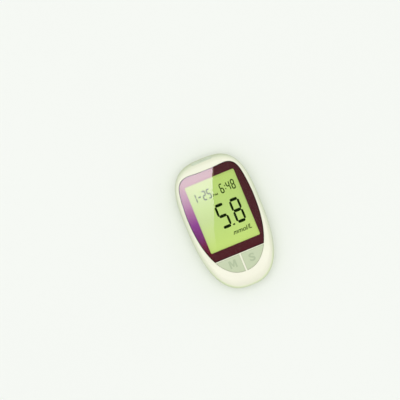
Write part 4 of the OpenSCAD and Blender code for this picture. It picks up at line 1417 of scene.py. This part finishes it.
leftCoil = cellAndCoil("left", -bay["cellX"], bay["y"][0], 1)
rightCoil = cellAndCoil("right", bay["cellX"], bay["y"][1], -1)
settle("cellSprings", joined(leftCoil, rightCoil), springSteel, "case", ["cell_springs"])
print("screws, springs and cells ready")

# Camera
view = {"turn": 22.4, "centre": (-18.72, 15.38), "distance": 1500.0, "fieldWidth": 280.5, "sensor": 36}


def makeCamera():
    turn = math.radians(view["turn"])
    right = Vector((math.cos(turn), -math.sin(turn), 0))
    up = Vector((math.sin(turn), math.cos(turn), 0))
    centre = right * view["centre"][0] + up * view["centre"][1]
    place = centre + Vector((0, 0, view["distance"] + outline["faceZ"]))
    camera = carrierOf(bpy.data.cameras.new("camera"), "camera")
    camera.data.sensor_width = view["sensor"]
    camera.data.lens = view["sensor"] * view["distance"] / view["fieldWidth"]
    camera.location = place * toMetres
    camera.rotation_euler = (0, 0, -turn)
    bpy.context.scene.camera = camera
    return place


eye = makeCamera()

# Floor and cards. A dark card over the camera carries one bright panel, which the flat lens mirrors
# on its left side. The panel's edge lists places of the lens, from the window's middle.
floor = {"half": 4000, "colour": "#f1f4ef"}
card = {
    "height": 1900.0, "left": -170.0, "reach": 190.0, "behind": 4, "strength": 8.14, "span": (-24, 30),
    "edge": [(60.0, 170), (6.5, 34), (4.1, 28), (3.0, 26), (0.8, 20), (-0.5, 16), (-2.6, 10), (-4.2, 5),
             (-6.2, 0), (-8.6, -6), (-10.2, -10), (-11.8, -15), (-13, -20), (-13.8, -24)],
    "stops": [(0.0, (0, 0, 0, 1)), (0.09, (0.06, 0.04, 0.075, 1)), (0.185, (0.14, 0.075, 0.175, 1)),
              (0.3, (0.2, 0.11, 0.25, 1)), (0.41, (0.26, 0.15, 0.35, 1)), (0.56, (0.39, 0.31, 0.475, 1)),
              (0.7, (0.52, 0.4, 0.68, 1)), (0.85, (0.76, 0.56, 0.93, 1)), (0.96, (0.86, 0.66, 1, 1))],
}


def stagePiece(name, points, faces, finish, lit=True):
    # a piece that isn't lit is hidden from diffuse rays and throws no shadow; glossy reflections still see it
    mesh = meshFrom(points, faces, name)
    mesh.transform(Matrix.Scale(toMetres, 4))
    mesh.materials.append(finish)
    piece = carrierOf(mesh, name)
    piece.visible_shadow = lit
    piece.visible_diffuse = lit


@finishOf
def paper(place):
    fibres, clouds = noise(place, 0.8, 4.0), noise(place, 240.0, 2.0)
    colour = toned(toned(floor["colour"], clouds, 0.01), fibres, 0.006)
    return coated(place, Base_Color=colour, Roughness=0.85 + (fibres - 0.5) * 0.1)


def mirrored(x, y):
    # where a ray from the camera to this place of the lens meets the card
    far = card["height"] / view["distance"]
    row = y + lens["windowY"]
    return (x + (x - eye.x) * far, row + (row - eye.y) * far, outline["faceZ"] + card["height"])


@finishOf
def glowing(place):
    low, high = [mirrored(0, y)[1] for y in card["span"]]
    level = (axesOf(place)[1] - low) / (high - low)
    tint = level.node("ShaderNodeValToRGB", {"stops": card["stops"]}, {"Fac": level})
    return tint.node("ShaderNodeEmission", {}, {"Color": tint, "Strength": card["strength"]})


@finishOf
def darkened(place):
    colour = toned("#060606", noise(place, 2.0, 3.0), 0.1)
    return coated(place, Base_Color=colour, Roughness=0.9, Specular_IOR_Level=0.0)


def makeStage():
    square = [(-1, -1), (1, -1), (1, 1), (-1, 1)]
    ground = [(x * floor["half"], y * floor["half"], 0) for x, y in square]
    stagePiece("floor", ground, [(0, 1, 2, 3)], paper("floorPaper"))
    edge = [mirrored(x, y) for x, y in card["edge"]]
    leftEdge = [mirrored(card["left"], y) for _, y in card["edge"]]
    count = len(edge)
    faces = [(i, i + 1, count + i + 1, count + i) for i in range(count - 1)]
    stagePiece("cardPanel", edge + leftEdge, faces, glowing("cardGlow"), False)
    corners = [mirrored(x * card["reach"], y * card["reach"]) for x, y in square]
    back = [(x, y, z + card["behind"]) for x, y, z in corners]
    stagePiece("cardBack", back, [(0, 1, 2, 3)], darkened("darkCard"), False)


makeStage()

light = {"world": 0.72, "background": "#eef2ec", "power": 24.0, "at": (-30, 100, 2500), "size": 2000}


def makeLight():
    # the camera and reflections see the pale background; all else gets the world's plain light
    world = bpy.data.worlds.new("studio")
    world.use_nodes = True
    world.node_tree.nodes.clear()
    rays = Wire(world.node_tree).node("ShaderNodeLightPath", out="Is Camera Ray")
    seen = most(most(rays, rays.also("Is Glossy Ray")), rays.also("Is Transmission Ray"))
    pale = rays.node("ShaderNodeBackground", {}, {"Color": hexColour(light["background"]), "Strength": 1.0})
    soft = rays.node("ShaderNodeBackground", {}, {"Color": (1, 1, 1, 1), "Strength": light["world"]})
    both = rays.node("ShaderNodeMixShader", {}, {0: seen, 1: soft, 2: pale})
    rays.node("ShaderNodeOutputWorld", {}, {"Surface": both})
    bpy.context.scene.world = world
    lamp = bpy.data.lights.new("softbox", "AREA")
    lamp.energy = light["power"]
    lamp.size = light["size"] * toMetres
    softbox = carrierOf(lamp, "softbox")
    softbox.location = Vector(light["at"]) * toMetres
    softbox.rotation_euler = (-softbox.location).to_track_quat("-Z", "Y").to_euler()


makeLight()
bpy.context.scene.view_settings.view_transform = "Standard"
print("stage ready")
